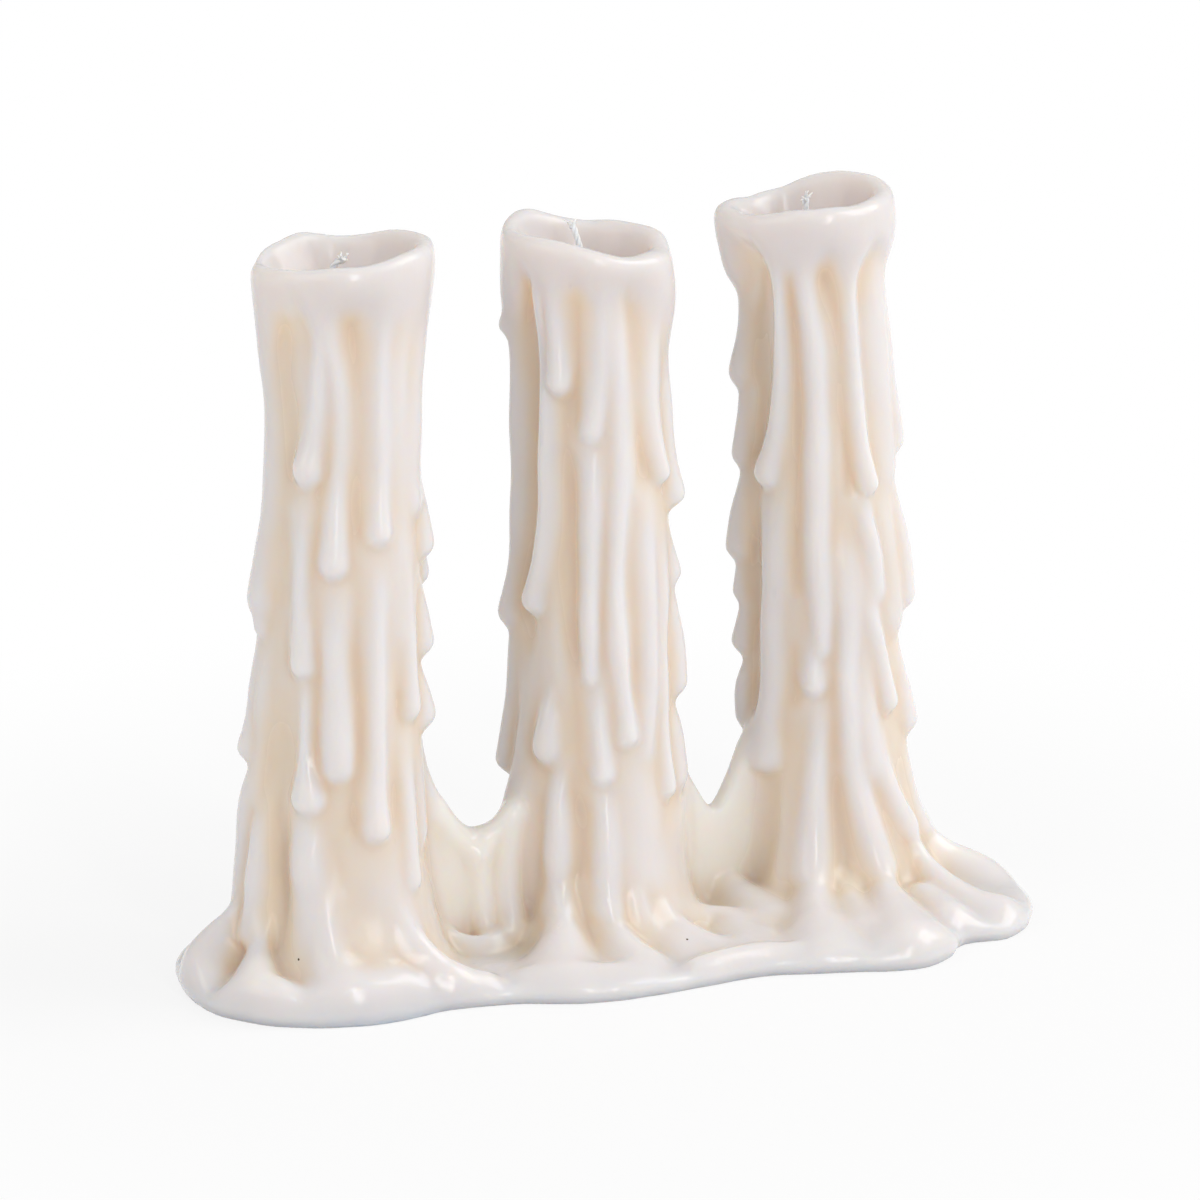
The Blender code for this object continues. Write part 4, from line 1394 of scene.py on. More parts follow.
MIDDLE_RUNS = (
    Fold(((-69, 150, 2.4, 2.8, 2.7), (-70, 142, 1.1, 1.5, 2.2), (-69.5, 133, 0.8, 1.7, 2.2),
          (-68, 124, 1.1, 2.2, 2.2), (-68, 112, 1.2, 2.4, 2.2), (-68, 100, 1.2, 2.5, 2.3),
          (-70, 91, 1.8, 2.7, 2.6), (-74, 84, 3.3, 3, 3.1), (-77.5, 80, 3.8, 3.5, 3.5))),
    Fold(((-56, 150, 3.2, 3.2, 2.7), (-56, 145, 2.5, 2.6, 2.4), (-55, 138, 2.4, 2.5, 2.5),
          (-54, 131, 3, 3, 3.2), (-54, 129, 3.2, 3.2, 3.4))),
    Fold(((-17, 150, 3.2, 3.2, 2.7), (-17.5, 142, 3, 3, 2), (-19, 133, 2.8, 2.8, 1.9),
          (-23, 125, 2.6, 2.8, 2), (-28, 118, 2.8, 2.8, 2.6)), 2.0, 0.8),
    Fold(((-27, 116, 2.4, 2.6, 0.3), (-28, 104, 2.2, 2.4, 2), (-28.5, 92, 2.2, 2.2, 2.1),
          (-29.5, 80, 2.1, 2, 2.2), (-30, 70, 1.9, 1.8, 2.3), (-30, 64, 1.7, 1.7, 2.3)), 1.4, 0.9),
    Fold(((-9, 152, 3.4, 3.4, 2.1), (-5, 136, 3, 3, 1.6), (-4.5, 120, 2.8, 2.8, 1.6),
          (-5, 104, 2.4, 2.4, 1.8), (-8.5, 92, 2.1, 2.1, 2.1), (-10, 82, 2, 2, 2.3),
          (-8.5, 72, 2.6, 2.5, 3), (-6, 64, 2, 2.1, 2.2), (-3.5, 57, 2.1, 2.2, 2.2),
          (-1.5, 50.5, 2.8, 2.8, 3)), 2.2, 0.75),
    Fold(((31, 150, 4.6, 5.4, 2.7), (30, 140, 4.2, 5.4, 2.1), (29, 128, 3.6, 5.4, 2),
          (31, 117, 3, 5, 2.2), (36, 110.5, 3, 3.6, 2.9), (40, 107.5, 3.4, 3.4, 3.4)), 2.0, 0.75),
    Fold(((58, 145, 4.8, 4.8, 1.2), (60, 126, 4.5, 4.5, 2.5), (62, 108, 4, 4, 3.4),
          (63, 100.8, 3.8, 3.8, 4.7)), 2.0, 0.75),
    Fold(((58, 95, 3.7, 3.7, 0.3), (62, 88, 3.6, 3.6, 2.4), (62, 83.5, 3.2, 3.2, 3.7))),
    Fold(((58, 84, 3.8, 3.8, 1.4), (61, 70, 4.2, 4.2, 3.8), (63, 58, 4.2, 4.2, 4.7))),
    Fold(((58, 56, 4.2, 4.2, 0.8), (60, 48, 5.3, 5.3, 3.5), (62, 38, 5.8, 5.8, 4)), 1.2, 1.2),
    Fold(((20, 102, 2.6, 3, 0.3), (20, 88, 3.2, 3.2, 2.4), (21, 72, 3.2, 3, 2.7), (19, 56, 3, 2.6, 2.4),
          (14, 46, 2.4, 2.4, 1.8)), 1.1, 1.5).slumped(),
    Fold(((42, 98, 3.4, 3.6, 0.3), (40, 84, 3.2, 3.4, 2.8), (34, 70, 2, 2.6, 2.9), (33, 55, 1.6, 2.4, 3),
          (35, 44, 1.8, 2.4, 3.3), (36, 36.5, 2.4, 2.6, 3.7))).slumped(),
    Fold(((-116, 151, 3.2, 3.2, 2.4), (-118, 143, 2.6, 2.6, 2.9), (-118, 138, 3.4, 3.4, 5.8))),
    Fold(((-113, 146, 3.8, 3.6, 2.8), (-113, 128, 4, 3.8, 3), (-113, 110, 3.8, 3.6, 2.3),
          (-113, 94, 3.8, 3.6, 1.8), (-113, 84, 4, 3.8, 2.4), (-114, 74.5, 4.4, 4.2, 4.6)), 2.0, 0.8),
    Fold(((-112, 74, 3.4, 3.4, 1.6), (-116, 57, 3.8, 3.8, 2.8), (-118, 49, 3.8, 3.8, 3.8),
          (-118, 41, 4, 4, 5))),
    Fold(((-61, 61, 0.9, 0.9, 0.3), (-62, 56, 2, 2, 3), (-64, 50, 3.5, 3.7, 4),
          (-64, 48, 3.6, 3.8, 4.1)), 1.0, 0.6).slumped(),
    Fold(((-88, 62, 2.6, 2.6, 0.3), (-92, 48, 3, 3, 2.4), (-94, 34, 3.4, 3.4, 2.8)), 1.2, 1.4).slumped(),
    Fold(((-24, 64, 1.6, 1.6, 0.3), (-23.5, 53, 1.8, 1.8, 2.7), (-21, 46, 2.2, 2.2, 3.4),
          (-21, 42.8, 2.5, 2.5, 3.7))).slumped(),
    Fold(((-20, 40, 1.8, 2.2, 0.3), (-20, 32, 2, 2.6, 2.9), (-20, 22, 2.4, 3.2, 3.2),
          (-20, 13, 3, 3.4, 3.2)), 1.0, 1.0).slumped(),
    Fold(((-53, 46, 1.6, 1.4, 0.3), (-53, 38, 2.4, 2, 2.2), (-52, 30, 3.4, 2.8, 3.2),
          (-51.5, 24, 3.6, 3, 3.4), (-51, 19, 2.6, 2.4, 2.2), (-50, 13, 3.2, 2.8, 2)), 1.2, 1.2),
    Fold(((4, 48, 5, 6, 0.3), (6, 35, 6, 7, 1.4), (8, 20, 7, 8, 1.4)), 2.0, 1.8),
)
RIGHT_COLLAR = (
    (-118, 142, 158),
    *collar_line((-95, 150.5), (-80, 151), (-72, 150.5), (-63, 147), (-56, 143), (-48, 146.5), (-40, 144),
                 (-33, 144), (-26, 147.5), (-18, 149.5), (-11, 148), (-4, 144), (3, 142), (9, 146.5),
                 (16, 149), (26, 149), (36, 147), (50, 145)),
)
RIGHT_HOLLOWS = (
    Fold(((-90, 150, 6, 6, -0.6), (-88, 138, 7, 6.4, -1.8), (-86, 124, 6.4, 5.4, -1.9),
          (-90, 108, 5, 3.6, -1.5), (-92, 96, 4, 3, -1.2)), 1.5, 1.5),
    Fold(((-48, 147, 0.9, 0.9, -0.3), (-47, 138, 1.4, 1.4, -0.6), (-46, 125, 1.6, 1.6, -0.9),
          (-47, 110, 1.5, 1.5, -0.9), (-50, 98, 1.8, 1.8, -1.1), (-53, 86, 2.3, 2.3, -1.3),
          (-50, 76, 1.8, 1.8, -0.8)), 1.5, 1.5),
    Fold(((-18, 148, 2.2, 2, -0.5), (-12, 141, 1.7, 1.7, -0.8), (-6, 132, 1.5, 1.5, -0.5),
          (-6, 118, 1.5, 1.5, -0.5), (-5, 107, 1.8, 1.8, -0.9), (-3, 99, 2.4, 2.2, -1.5)), 1.5, 1.5),
    Fold(((-47, 68, 1.4, 1.4, -0.3), (-52, 60, 2.2, 2.2, -0.9), (-54, 50, 2.4, 2.4, -0.9)), 1.5, 1.5),
    Fold(((-25, 62, 1.4, 1.4, -0.3), (-26, 50, 1.8, 1.8, -0.6), (-25, 38, 1.6, 1.6, -0.4)), 1.5, 1.5),
    Fold(((10, 61, 1.4, 1.6, -0.4), (13, 52, 2.2, 2.2, -0.9), (16, 44, 2, 2, -0.6)), 1.5, 1.5),
    Fold(((-92, 94, 2.8, 2.6, -0.6), (-92, 74, 2.8, 2.6, -1), (-94, 54, 3, 2.6, -1),
          (-98, 40, 3, 2.8, -0.8)), 1.5, 1.5),
    Fold(((-77, 42, 5, 4, -0.6), (-76, 30, 6, 4.4, -1.6), (-76, 18, 6.4, 5, -3.2),
          (-76, 8, 6, 5, -4.6)), 1.5, 1.5),
    Fold(((-20, 34, 1.8, 1.8, -0.6), (-20, 24, 2.4, 2.4, -1.4), (-18, 14, 2.6, 2.6, -2.2)), 1.5, 1.5),
)
RIGHT_RUNS = (
    Fold(((-122, 166, 9, 9, 4.6), (-121, 156, 9, 9, 6.2), (-118, 147, 7, 7, 4.3)), 2.6, 2.4),
    Fold(((-57, 150, 2.5, 2.5, 3.4), (-58, 142, 1.2, 1.2, 3), (-58.5, 133, 1.4, 1.4, 3),
          (-60, 124, 1.9, 1.9, 3), (-64, 114, 2.3, 2.4, 3.1), (-70, 107, 3, 3.3, 3.5),
          (-75, 102, 3.9, 4, 4)), 1.1, 0.6).slumped(),
    Fold(((-36, 150, 2.5, 2.5, 3.4), (-34, 142, 2, 2, 3), (-30.5, 132, 2.1, 2.5, 3),
          (-29.5, 120, 2.1, 2.6, 3), (-31, 109, 2.4, 2.6, 3.4), (-32, 100, 2.1, 2.5, 3),
          (-33.5, 90, 2.3, 2.6, 3.4), (-32.5, 80, 2.4, 2.5, 3.1), (-30.5, 70, 2.3, 2.4, 3.4),
          (-30, 63, 1.8, 1.8, 2.6)), 1.0, 1.0).slumped(),
    Fold(((2, 150, 2.5, 2.5, 3.4), (4, 142, 1.5, 0.9, 3), (4.5, 130, 1.6, 1, 3),
          (5.5, 120, 1.7, 1.1, 3.1), (7, 111, 1.9, 1.2, 3.4), (10, 104.5, 2.3, 1.3, 3.8),
          (13, 99.8, 2.3, 1.7, 4))).slumped(),
    Fold(((36, 152, 7, 8, 2.4), (38, 138, 8, 9, 2.2), (40, 122, 8, 9, 2.3), (43, 110, 7, 8, 2.2),
          (44, 103, 6.4, 6.4, 2.2)), 1.8, 1.0),
    Fold(((34, 98, 4.6, 5, 0.5), (36, 88, 5.4, 6, 1.7), (40, 76, 6, 6.4, 2.2),
          (42, 68, 5.6, 5.6, 2.4)), 1.6, 1.0),
    Fold(((60, 144, 4.2, 4.2, 1.4), (61, 126, 4.4, 4.4, 3), (63, 105.2, 3.8, 3.8, 3.9)), 1.6, 0.8),
    Fold(((58, 98, 4.2, 4.2, 0.6), (60, 86, 4.9, 4.9, 3.8), (62, 70.8, 4.7, 4.7, 4.9)), 1.1, 0.6),
    Fold(((58, 60, 3.8, 3.8, 0.3), (60, 51, 4.2, 4.2, 3.2), (62, 42.4, 4.5, 4.5, 4.5))),
    Fold(((9, 96, 2.4, 1, 0.3), (11, 91.5, 2.8, 1, 3.1), (15, 87, 3.2, 1, 3.2), (18, 81, 3.4, 1.3, 3),
          (19, 75, 3, 1.6, 2.4)), 1.0, 1.3).slumped(),
    Fold(((8, 76, 2.4, 1.6, 0.3), (13, 68, 2.6, 1.4, 3.1), (20, 61.5, 2.6, 1.5, 3.2),
          (25, 55, 2.6, 1.7, 3.3), (28, 49, 2.5, 2.2, 3.6))).slumped(),
    Fold(((-10, 84, 2.4, 3.4, 0.3), (-11, 70, 2.2, 3.6, 2.6), (-13, 58, 1.6, 3, 3.2),
          (-12, 50, 1.6, 2.8, 3), (-11.5, 44, 1.9, 2.4, 3.5), (-10, 36, 1.9, 2.4, 3.1),
          (-5, 28, 2.1, 2.6, 3.2), (1, 20, 2.4, 2.8, 3.3), (5, 13, 2.8, 3, 3.2)), 1.0, 0.9).slumped(),
    Fold(((2, 66, 3, 3, 0.3), (2, 50, 3.4, 3.4, 2.2), (6, 34, 3.6, 3.6, 2.2)), 1.3, 1.6).slumped(),
    Fold(((-38, 65, 1.4, 1.4, 0.3), (-37.5, 58.5, 2.2, 2.2, 3.1), (-37, 54.8, 2.4, 2.4, 3.4))).slumped(),
    Fold(((-73, 98, 2.2, 3.2, 0.3), (-73, 84, 2.4, 3.6, 2.7), (-73, 68, 2.3, 3.6, 2.9),
          (-73.5, 55, 2.5, 3.2, 3.1), (-75, 45, 3.4, 3.4, 3.5),
          (-75, 37.5, 4.3, 4.5, 4.1)), 1.0, 0.65).slumped(),
    Fold(((-33, 50, 1.8, 1.8, 0.3), (-35, 38, 2, 2, 2.7), (-37, 28, 2.4, 2.4, 3.2),
          (-38, 20, 2.8, 2.8, 3.2), (-38, 13, 3.2, 3.2, 3)), 1.0, 1.0).slumped(),
    Fold(((9, 44, 2.2, 2.2, 0.3), (14, 36, 2.4, 2.2, 2.6), (26, 28, 2.6, 2.4, 3),
          (36, 20, 2.8, 2.6, 3.2)), 1.1, 1.0).slumped(),
    Fold(((56, 42, 3.2, 3.6, 0.3), (62, 32, 3.4, 3.6, 1.4), (68, 24, 3.6, 3.6, 2.5),
          (72, 17, 3.8, 3.8, 3.6)), 1.1, 1.0),
    Fold(((-121, 142, 3.6, 3.6, 0.9), (-121, 131, 3.8, 3.8, 2.2),
          (-119, 121.5, 4.5, 4.3, 4.4)), 1.4, 0.9),
    Fold(((-114, 119, 3.4, 3.4, 1.8), (-115, 102.5, 3.8, 3.8, 4))),
    Fold(((-112, 100, 3.6, 3.6, 1.6), (-114, 91, 4, 4, 4), (-116, 82, 4.2, 4.2, 5.5))),
    Fold(((-115, 81, 2.8, 2.8, 2.8), (-116, 71.5, 3, 3, 4.2))),
    Fold(((-112, 71, 3.6, 3.6, 1.8), (-114, 60.5, 4.2, 4.2, 4.9)), 1.1, 0.9),
    Fold(((-108, 58, 3.4, 3.4, 0.8), (-112, 51, 3.8, 3.8, 3.4), (-112, 44, 4, 4, 2.8)), 1.1, 1.0),
)

LEFT_RIM = (
    (-120, 157.5), (-45, 159), (-20, 159), (15, 161), (55, 161.5), (105, 162), (155, 159.5), (190, 161),
    (225, 158.5),
)
MIDDLE_RIM = (
    (-120, 160), (-55, 159.5), (-35, 158.5), (-10, 156), (10, 155), (60, 156), (100, 157.5), (140, 158),
    (175, 159), (205, 161.5), (230, 160.5),
)
RIGHT_RIM = (
    (-120, 159.5), (-80, 159), (-40, 161.5), (5, 162), (60, 163.5), (120, 165), (145, 164),
    (170, 160.5), (190, 159.5), (220, 160.5),
)

LEFT = Pillar(
    "left", -63 + ROW_SHIFT_X, 2.5, LEFT_RIM,
    (*LEFT_COLLAR, *BackRuns(0).collar()), LEFT_HOLLOWS, (*LEFT_RUNS, *BackRuns(0).runs()),
)
MIDDLE = Pillar(
    "middle", -1.8 + ROW_SHIFT_X, -1.2, MIDDLE_RIM,
    (*MIDDLE_COLLAR, *BackRuns(21).collar()), MIDDLE_HOLLOWS, (*MIDDLE_RUNS, *BackRuns(21).runs()),
)
RIGHT = Pillar(
    "right", 57 + ROW_SHIFT_X, -6.2, RIGHT_RIM,
    (*RIGHT_COLLAR, *BackRuns(42).collar()), RIGHT_HOLLOWS, (*RIGHT_RUNS, *BackRuns(42).runs()),
    side=(
        (-6, 33), (0, 31), (3, 29), (7, 26), (13, 22.6), (20, 20.2), (30, 18.4), (42, 17.2),
        (60, 16.4), (80, 16.1), (100, 15.7), (115, 15.0), (130, 14.6), (174, 14.6),
    ),
)
PILLARS = (LEFT, MIDDLE, RIGHT)
CRATERS = (Crater(LEFT, -0.4, 0.5, 15.4), Crater(MIDDLE, -0.9, 0.6, 13.7), Crater(RIGHT, 0.2, 0.6, 14.5))

WEBS = (
    Web(((-56, 60), (-46, 50), (-40, 38), (-36, 33), (-32, 30), (-28, 30), (-25, 32), (-19, 42), (-10, 53))),
    Web(((10, 54), (16, 44), (24, 31), (27, 25.5), (29, 26.5), (36, 42), (48, 60))),
)
RIDGES = (
    Ridge(((-42, 7, 36), (-37, 7, 30), (-32, 6.5, 25)), 3.4, 3.4, 4.5),
    Ridge(((-23, 6, 34), (-28, 6.5, 29.5), (-32, 6.5, 25)), 3.4, 3.4, 4.5),
    Ridge(((-32, 6.5, 25), (-31, 6.5, 17), (-31, 5.5, 9), (-31, 3, 5)), 3.4, 5.0, 4.0),
    Ridge(((-23.5, 6, 33), (-25, 5.5, 23), (-26, 5, 14), (-25, 3, 7)), 4.2, 5.6, 4.0),
)

# Roots and hollows on the plan: X, Y, width on each side and height of the crest.
ROOTS = (
    Fold(((-82, 15, 5, 5, 23), (-86, 16, 7, 7, 18.5), (-90, 16, 9, 9, 15.5), (-93, 15, 10, 10, 12.4),
          (-94.5, 13, 10, 10, 10.4)), 1.4, 0.7),
    Fold(((-82, 7, 3.6, 3.2, 19), (-84.5, 4, 6.5, 5, 14.5), (-87, 0, 9, 8, 11.8), (-88, -4, 9, 8, 10.6),
          (-86.5, -7.5, 9, 8, 9.4)), 1.4, 0.8),
    Fold(((-93, -1, 8, 8, 8.2), (-88, -6, 8, 8, 8.8), (-83.5, -9.5, 7, 7, 7.6), (-80, -11.2, 6, 6, 7.4),
          (-76, -12.8, 7, 7, 8.6), (-70, -14, 8, 8, 9)), 1.0, 1.0),
    Fold(((-64, -9, 8, 8, 12), (-62, -12, 9, 9, 10.2), (-60, -15, 10, 10, 9)), 1.8, 1.5),
    Fold(((-74, -6, 4.5, 4.5, 22), (-73.4, -7.5, 6.5, 7, 18), (-72.8, -9, 9.5, 10, 14),
          (-71.5, -11, 13, 13, 11.6), (-69.5, -12.5, 14, 15, 10.2)), 1.6, 0.8),
    Fold(((-74, -12, 6, 6, 7.4), (-68, -13, 7, 7, 8.8), (-62, -13.6, 8, 8, 9.2), (-56, -13, 6, 6, 8),
          (-49, -14, 6, 6, 8), (-41, -17, 5, 5, 7)), 0.9, 0.9),
    Fold(((-57.8, -8.8, 3, 3, 21.5), (-54, -10.8, 3.6, 3.6, 15.5), (-50.5, -14, 4.5, 4.5, 11),
          (-49, -15.8, 5, 5, 9.4)), 1.5, 0.8).spread_out(),
    Fold(((-47, 8, 3, 3, 15), (-43, 5.5, 3, 3, 11.5), (-38, 2.5, 3, 3, 9), (-33, 0.5, 3.2, 3.2, 8.5),
          (-28, 1.5, 3, 3, 9), (-24, 4, 3, 3, 12)), 1.0, 1.0),
    Fold(((-17.2, -4.6, 3, 3, 18), (-18.5, -7.5, 4.5, 4.5, 13.5), (-21.5, -13, 7, 7, 10),
          (-24.5, -19, 8, 8, 7.8)), 1.5, 1.0).spread_out(),
    Fold(((-33, -18, 5, 5, 5.8), (-26, -22, 6, 6, 6.6), (-17, -24.5, 6, 6, 6.6),
          (-9, -26, 5.5, 5.5, 5.9)), 1.4, 1.2),
    Fold(((-8.8, -9.8, 3.2, 3.2, 17), (-8.5, -12.5, 4, 4, 12), (-8, -17, 5.5, 5.5, 9.2),
          (-7, -21.5, 6, 6, 7.8)), 1.5, 0.9).spread_out(),
    Fold(((-2.4, -10.6, 5, 5.4, 18), (-0.5, -12, 6, 6.4, 12.5), (2.5, -14.5, 7, 7, 9.4),
          (5, -18.5, 8, 8, 7.4)), 1.6, 1.2),
    Fold(((3, -9.5, 6, 6, 15), (5.5, -12, 7, 7, 11), (9, -16, 8, 8, 8.4), (12, -20, 8, 8, 7)), 1.6, 1.3),
    Fold(((6.5, -9, 5.5, 5.5, 13), (12, -5.5, 5.6, 5.6, 9.6), (18, -4, 6.6, 6.6, 8.4), (24, -6, 8, 8, 8),
          (23, -16, 10, 10, 7), (20, -24, 10, 10, 6.4)), 1.6, 1.3),
    Fold(((3, -28, 4.4, 4.4, 6), (10, -28, 4.4, 4.4, 6.8), (18, -28, 4.2, 4.2, 6.8),
          (27, -30, 4, 4, 6.2)), 1.2, 1.0),
    Fold(((31, 7, 6.5, 6.5, 11), (32.5, -1, 9, 9, 9.2), (33, -10, 11, 11, 8)), 1.8, 1.4),
    Fold(((44.3, -7, 3.4, 3.4, 17), (42.5, -11.5, 4.5, 4.5, 13), (40, -17, 6, 6, 10.6),
          (37, -24, 8, 8, 9.2), (35.5, -29, 8.5, 8.5, 8)), 1.5, 1.0).spread_out(),
    Fold(((50, -14, 8, 8, 10.4), (48, -20, 9.5, 9.5, 9.6), (45.5, -29, 10, 10, 8.8)), 1.7, 1.4),
    Fold(((57.6, -11.2, 5.4, 5.4, 16), (57.8, -15, 7, 7, 12.8), (56, -22, 10, 10, 11.2),
          (53.5, -30, 12.6, 12, 10.6), (52, -35.5, 12.7, 11.9, 9.6)), 1.7, 0.8),
    Fold(((66.5, -18, 8, 8, 10.4), (67.5, -23.5, 9, 9, 9.6), (67, -29, 9, 9, 8.8)), 1.7, 1.4),
    Fold(((68.8, -7.8, 3, 3, 20), (71, -11.5, 3.6, 3.6, 14), (73, -19, 4.5, 4.5, 11),
          (76, -25, 6, 6, 9.2), (80, -27.5, 6, 6, 8)), 1.5, 0.9).spread_out(),
    Fold(((75.5, 3, 3.2, 3.2, 24), (79, 2, 4, 4, 17.5), (83.5, -0.5, 5, 5, 12.5), (87.5, -3, 7, 7, 10),
          (89.5, -5, 7, 7, 8.6)), 1.5, 0.9).spread_out(),
    Fold(((75, 11, 4, 4, 18), (83, 12, 6, 6, 11.5), (88, 12, 7, 7, 9)), 1.5, 1.0).spread_out(),
    Fold(((70, 21, 4, 4, 16), (76, 23, 6, 6, 11), (82, 23, 7, 7, 8.5)), 1.5, 1.0).spread_out(),
    Fold(((62, 27, 4, 4, 14), (64, 30, 6, 6, 9)), 1.5, 1.0).spread_out(),
    Fold(((46, 23, 4, 4, 13), (42, 27, 6, 6, 8)), 1.5, 1.0).spread_out(),
    Fold(((0, 27, 4, 4, 14), (0, 32, 7, 7, 9), (0, 35, 7, 7, 7)), 1.5, 1.0).spread_out(),
    Fold(((11, 21, 4, 4, 13), (16, 26, 6, 6, 8), (18, 29, 6, 6, 6.5)), 1.5, 1.0).spread_out(),
    Fold(((-15, 22, 4, 4, 13), (-19, 27, 6, 6, 8.5), (-21, 30, 6, 6, 7)), 1.5, 1.0).spread_out(),
    Fold(((-75, 26, 4, 4, 15), (-79, 30, 6, 6, 9.5), (-81, 33, 7, 7, 7.5)), 1.5, 1.0).spread_out(),
    Fold(((-60, 28, 4, 4, 14), (-60, 34, 7, 7, 8.5), (-60, 37, 7, 7, 7)), 1.5, 1.0).spread_out(),
    Fold(((-49, 21, 4, 4, 13), (-45, 27, 6, 6, 8.5), (-43, 31, 6, 6, 7)), 1.5, 1.0).spread_out(),
)
DIPS = (
    Fold(((12, -12, 4, 4, -1.2), (10, -20, 4, 4, -1.2)), 1.5, 1.5),
    Fold(((46, -20, 3, 3, -0.8), (43, -32, 3, 3, -0.8)), 1.5, 1.5),
)
PUDDLE_BORDER = (
    (-97.5, 13), (-95.5, -1), (-86, -12.5), (-70, -18.5), (-52, -19), (-37, -23), (-22, -30),
    (-4, -32.5), (16, -32), (34, -38), (50, -44), (61, -41), (68, -35), (79, -36), (89, -29.5),
    (96, -16), (98, 2), (93, 21), (79, 33), (60, 37), (41, 34), (22, 38), (-2, 42), (-22, 37),
    (-42, 40), (-63, 44), (-83, 40.5), (-94, 29),
)
PUDDLE = Puddle(tuple((x + ROW_SHIFT_X, y) for x, y in PUDDLE_BORDER), ROOTS, DIPS)


@dataclass
class WaxBody:
    """The wax: three guttered pillars on one puddle, joined by two low webs.

    Attributes:
        low: Lowest corner of the wax, in metres.
        high: Highest corner of the wax, in metres.
    """

    low: Vector
    high: Vector
    margin: float = 4.0
    step: float = 0.70
    rough_step: float = 1.2
    most_triangles: int = 192_000
    wobble_depth: float = 0.22
    wobble_waves: int = 28
    wobble_seed: int = 7
    sharp_angle: float = 55.0
    # Painted shade: how much the puddle's low border is dimmed, and how the shade painted in the hollows is
    # made up from the wax round a place, its depth and its height.
    border_dimming: float = 0.5
    near_reach: float = 4.0
    wide_reach: float = 10.0
    near_share: float = 0.5
    depth_share: float = 0.034
    low_shade_share: float = 0.038

    def melt(self) -> WaxField:
        """Melt the whole body together: puddle, pillars, webs and the threads on the webs."""
        step = self.step
        low = np.array(self.low) / MM - self.margin
        high = np.array(self.high) / MM + self.margin
        wax = WaxField.around(low, high, step)
        wax.melt_in([PUDDLE, *PILLARS, *WEBS, *RIDGES])
        wax.wobble(self.wobble_waves, self.wobble_depth, self.wobble_seed)
        wax.carve_out(CRATERS)
        wax.cut_at_table()
        wax.carve_out(WickHole(pillar) for pillar in PILLARS)
        return wax

    def build(self) -> bpy.types.Object:
        """Draw the skin, thin it to its most triangles, settle it back on the wax and store where shade and
        light are painted on it.
        """
        wax = self.melt()
        vertices, faces = SurfaceNet(wax).build()
        piece = make_piece("wax", vertices, faces)
        modifier = piece.modifiers.new("thin", "DECIMATE")
        modifier.ratio = min(1.0, self.most_triangles / count_triangles(piece))
        modifier.use_collapse_triangulate = True
        graph = bpy.context.evaluated_depsgraph_get()
        thinned = bpy.data.meshes.new_from_object(piece.evaluated_get(graph))
        piece.modifiers.clear()
        piece.data = thinned
        places = wax.settle(read_places(thinned))
        places[:, 2] = np.maximum(places[:, 2], 0)
        # Store where shade and light are painted: shade in the hollows, light through the webs, shade that
        # dims the collars and the border.
        write_values(thinned, PAINTED_SHADE, self.painted_shade_share(wax, places))
        write_values(thinned, PAINTED_BACKLIGHT, self.painted_backlight(places))
        write_values(thinned, PAINTED_DIMMING, self.painted_dimming(places))
        thinned.vertices.foreach_set("co", (places * MM).ravel())
        thinned.shade_smooth()
        thinned.set_sharp_from_angle(angle=math.radians(self.sharp_angle))
        thinned.update()
        return piece

    def painted_shade_share(self, wax: WaxField, places: Array) -> Array:
        """How much painted shade places on the skin get: the more sheltered, the more.

        The share of wax round each place, at two reaches, and a part for each millimetre
        that it lies below the folds round it on a pillar. Low down, the puddle gets a little painted shade
        too.
        """
        reaches = (self.near_reach, self.wide_reach)
        near, wide = (wax.sample(wax.enclosure(reach), places) for reach in reaches)
        total = self.near_share * near + (1 - self.near_share) * wide
        for pillar in PILLARS:
            out, depth = pillar.cover(places)
            total += self.depth_share * depth * np.clip(1 - np.abs(out) / 3, 0, 1)
        return total + self.low_shade_share * ease((12 - places[:, 2]) / 8)

    def painted_backlight(self, places: Array) -> Array:
        """Where light is painted through thin wax: one on the webs between the pillars, nought on the rest.
        """
        total = np.zeros(len(places))
        for web in WEBS:
            total = np.maximum(total, ease(1.4 - np.abs(web.distance(*places.T)[0]) / 4))
        for pillar in PILLARS:
            total *= ease(pillar.cover(places)[0] / 4)
        return total * ease((places[:, 2] - 6) / 8)

    def painted_dimming(self, places: Array) -> Array:
        """Where shade is painted to dim the wax: one on the collars and low on the puddle, nought on the
        rest.
        """
        total = self.border_dimming * ease((9 - places[:, 2]) / 5)
        for pillar in PILLARS:
            _, turn, _ = pillar.polar(*places.T)
            share = pillar.collar_share(turn, places[:, 2]) * ease((3 - pillar.cover(places)[0]) / 3)
            total = np.maximum(total, share)
        return total

    def dress(self, piece: bpy.types.Object) -> None:
        """Give the wax its finish and its place in the frame."""
        piece.data.materials.clear()
        piece.data.materials.append(WaxFinish().make())
        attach(piece, "root")
        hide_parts("wax_body")


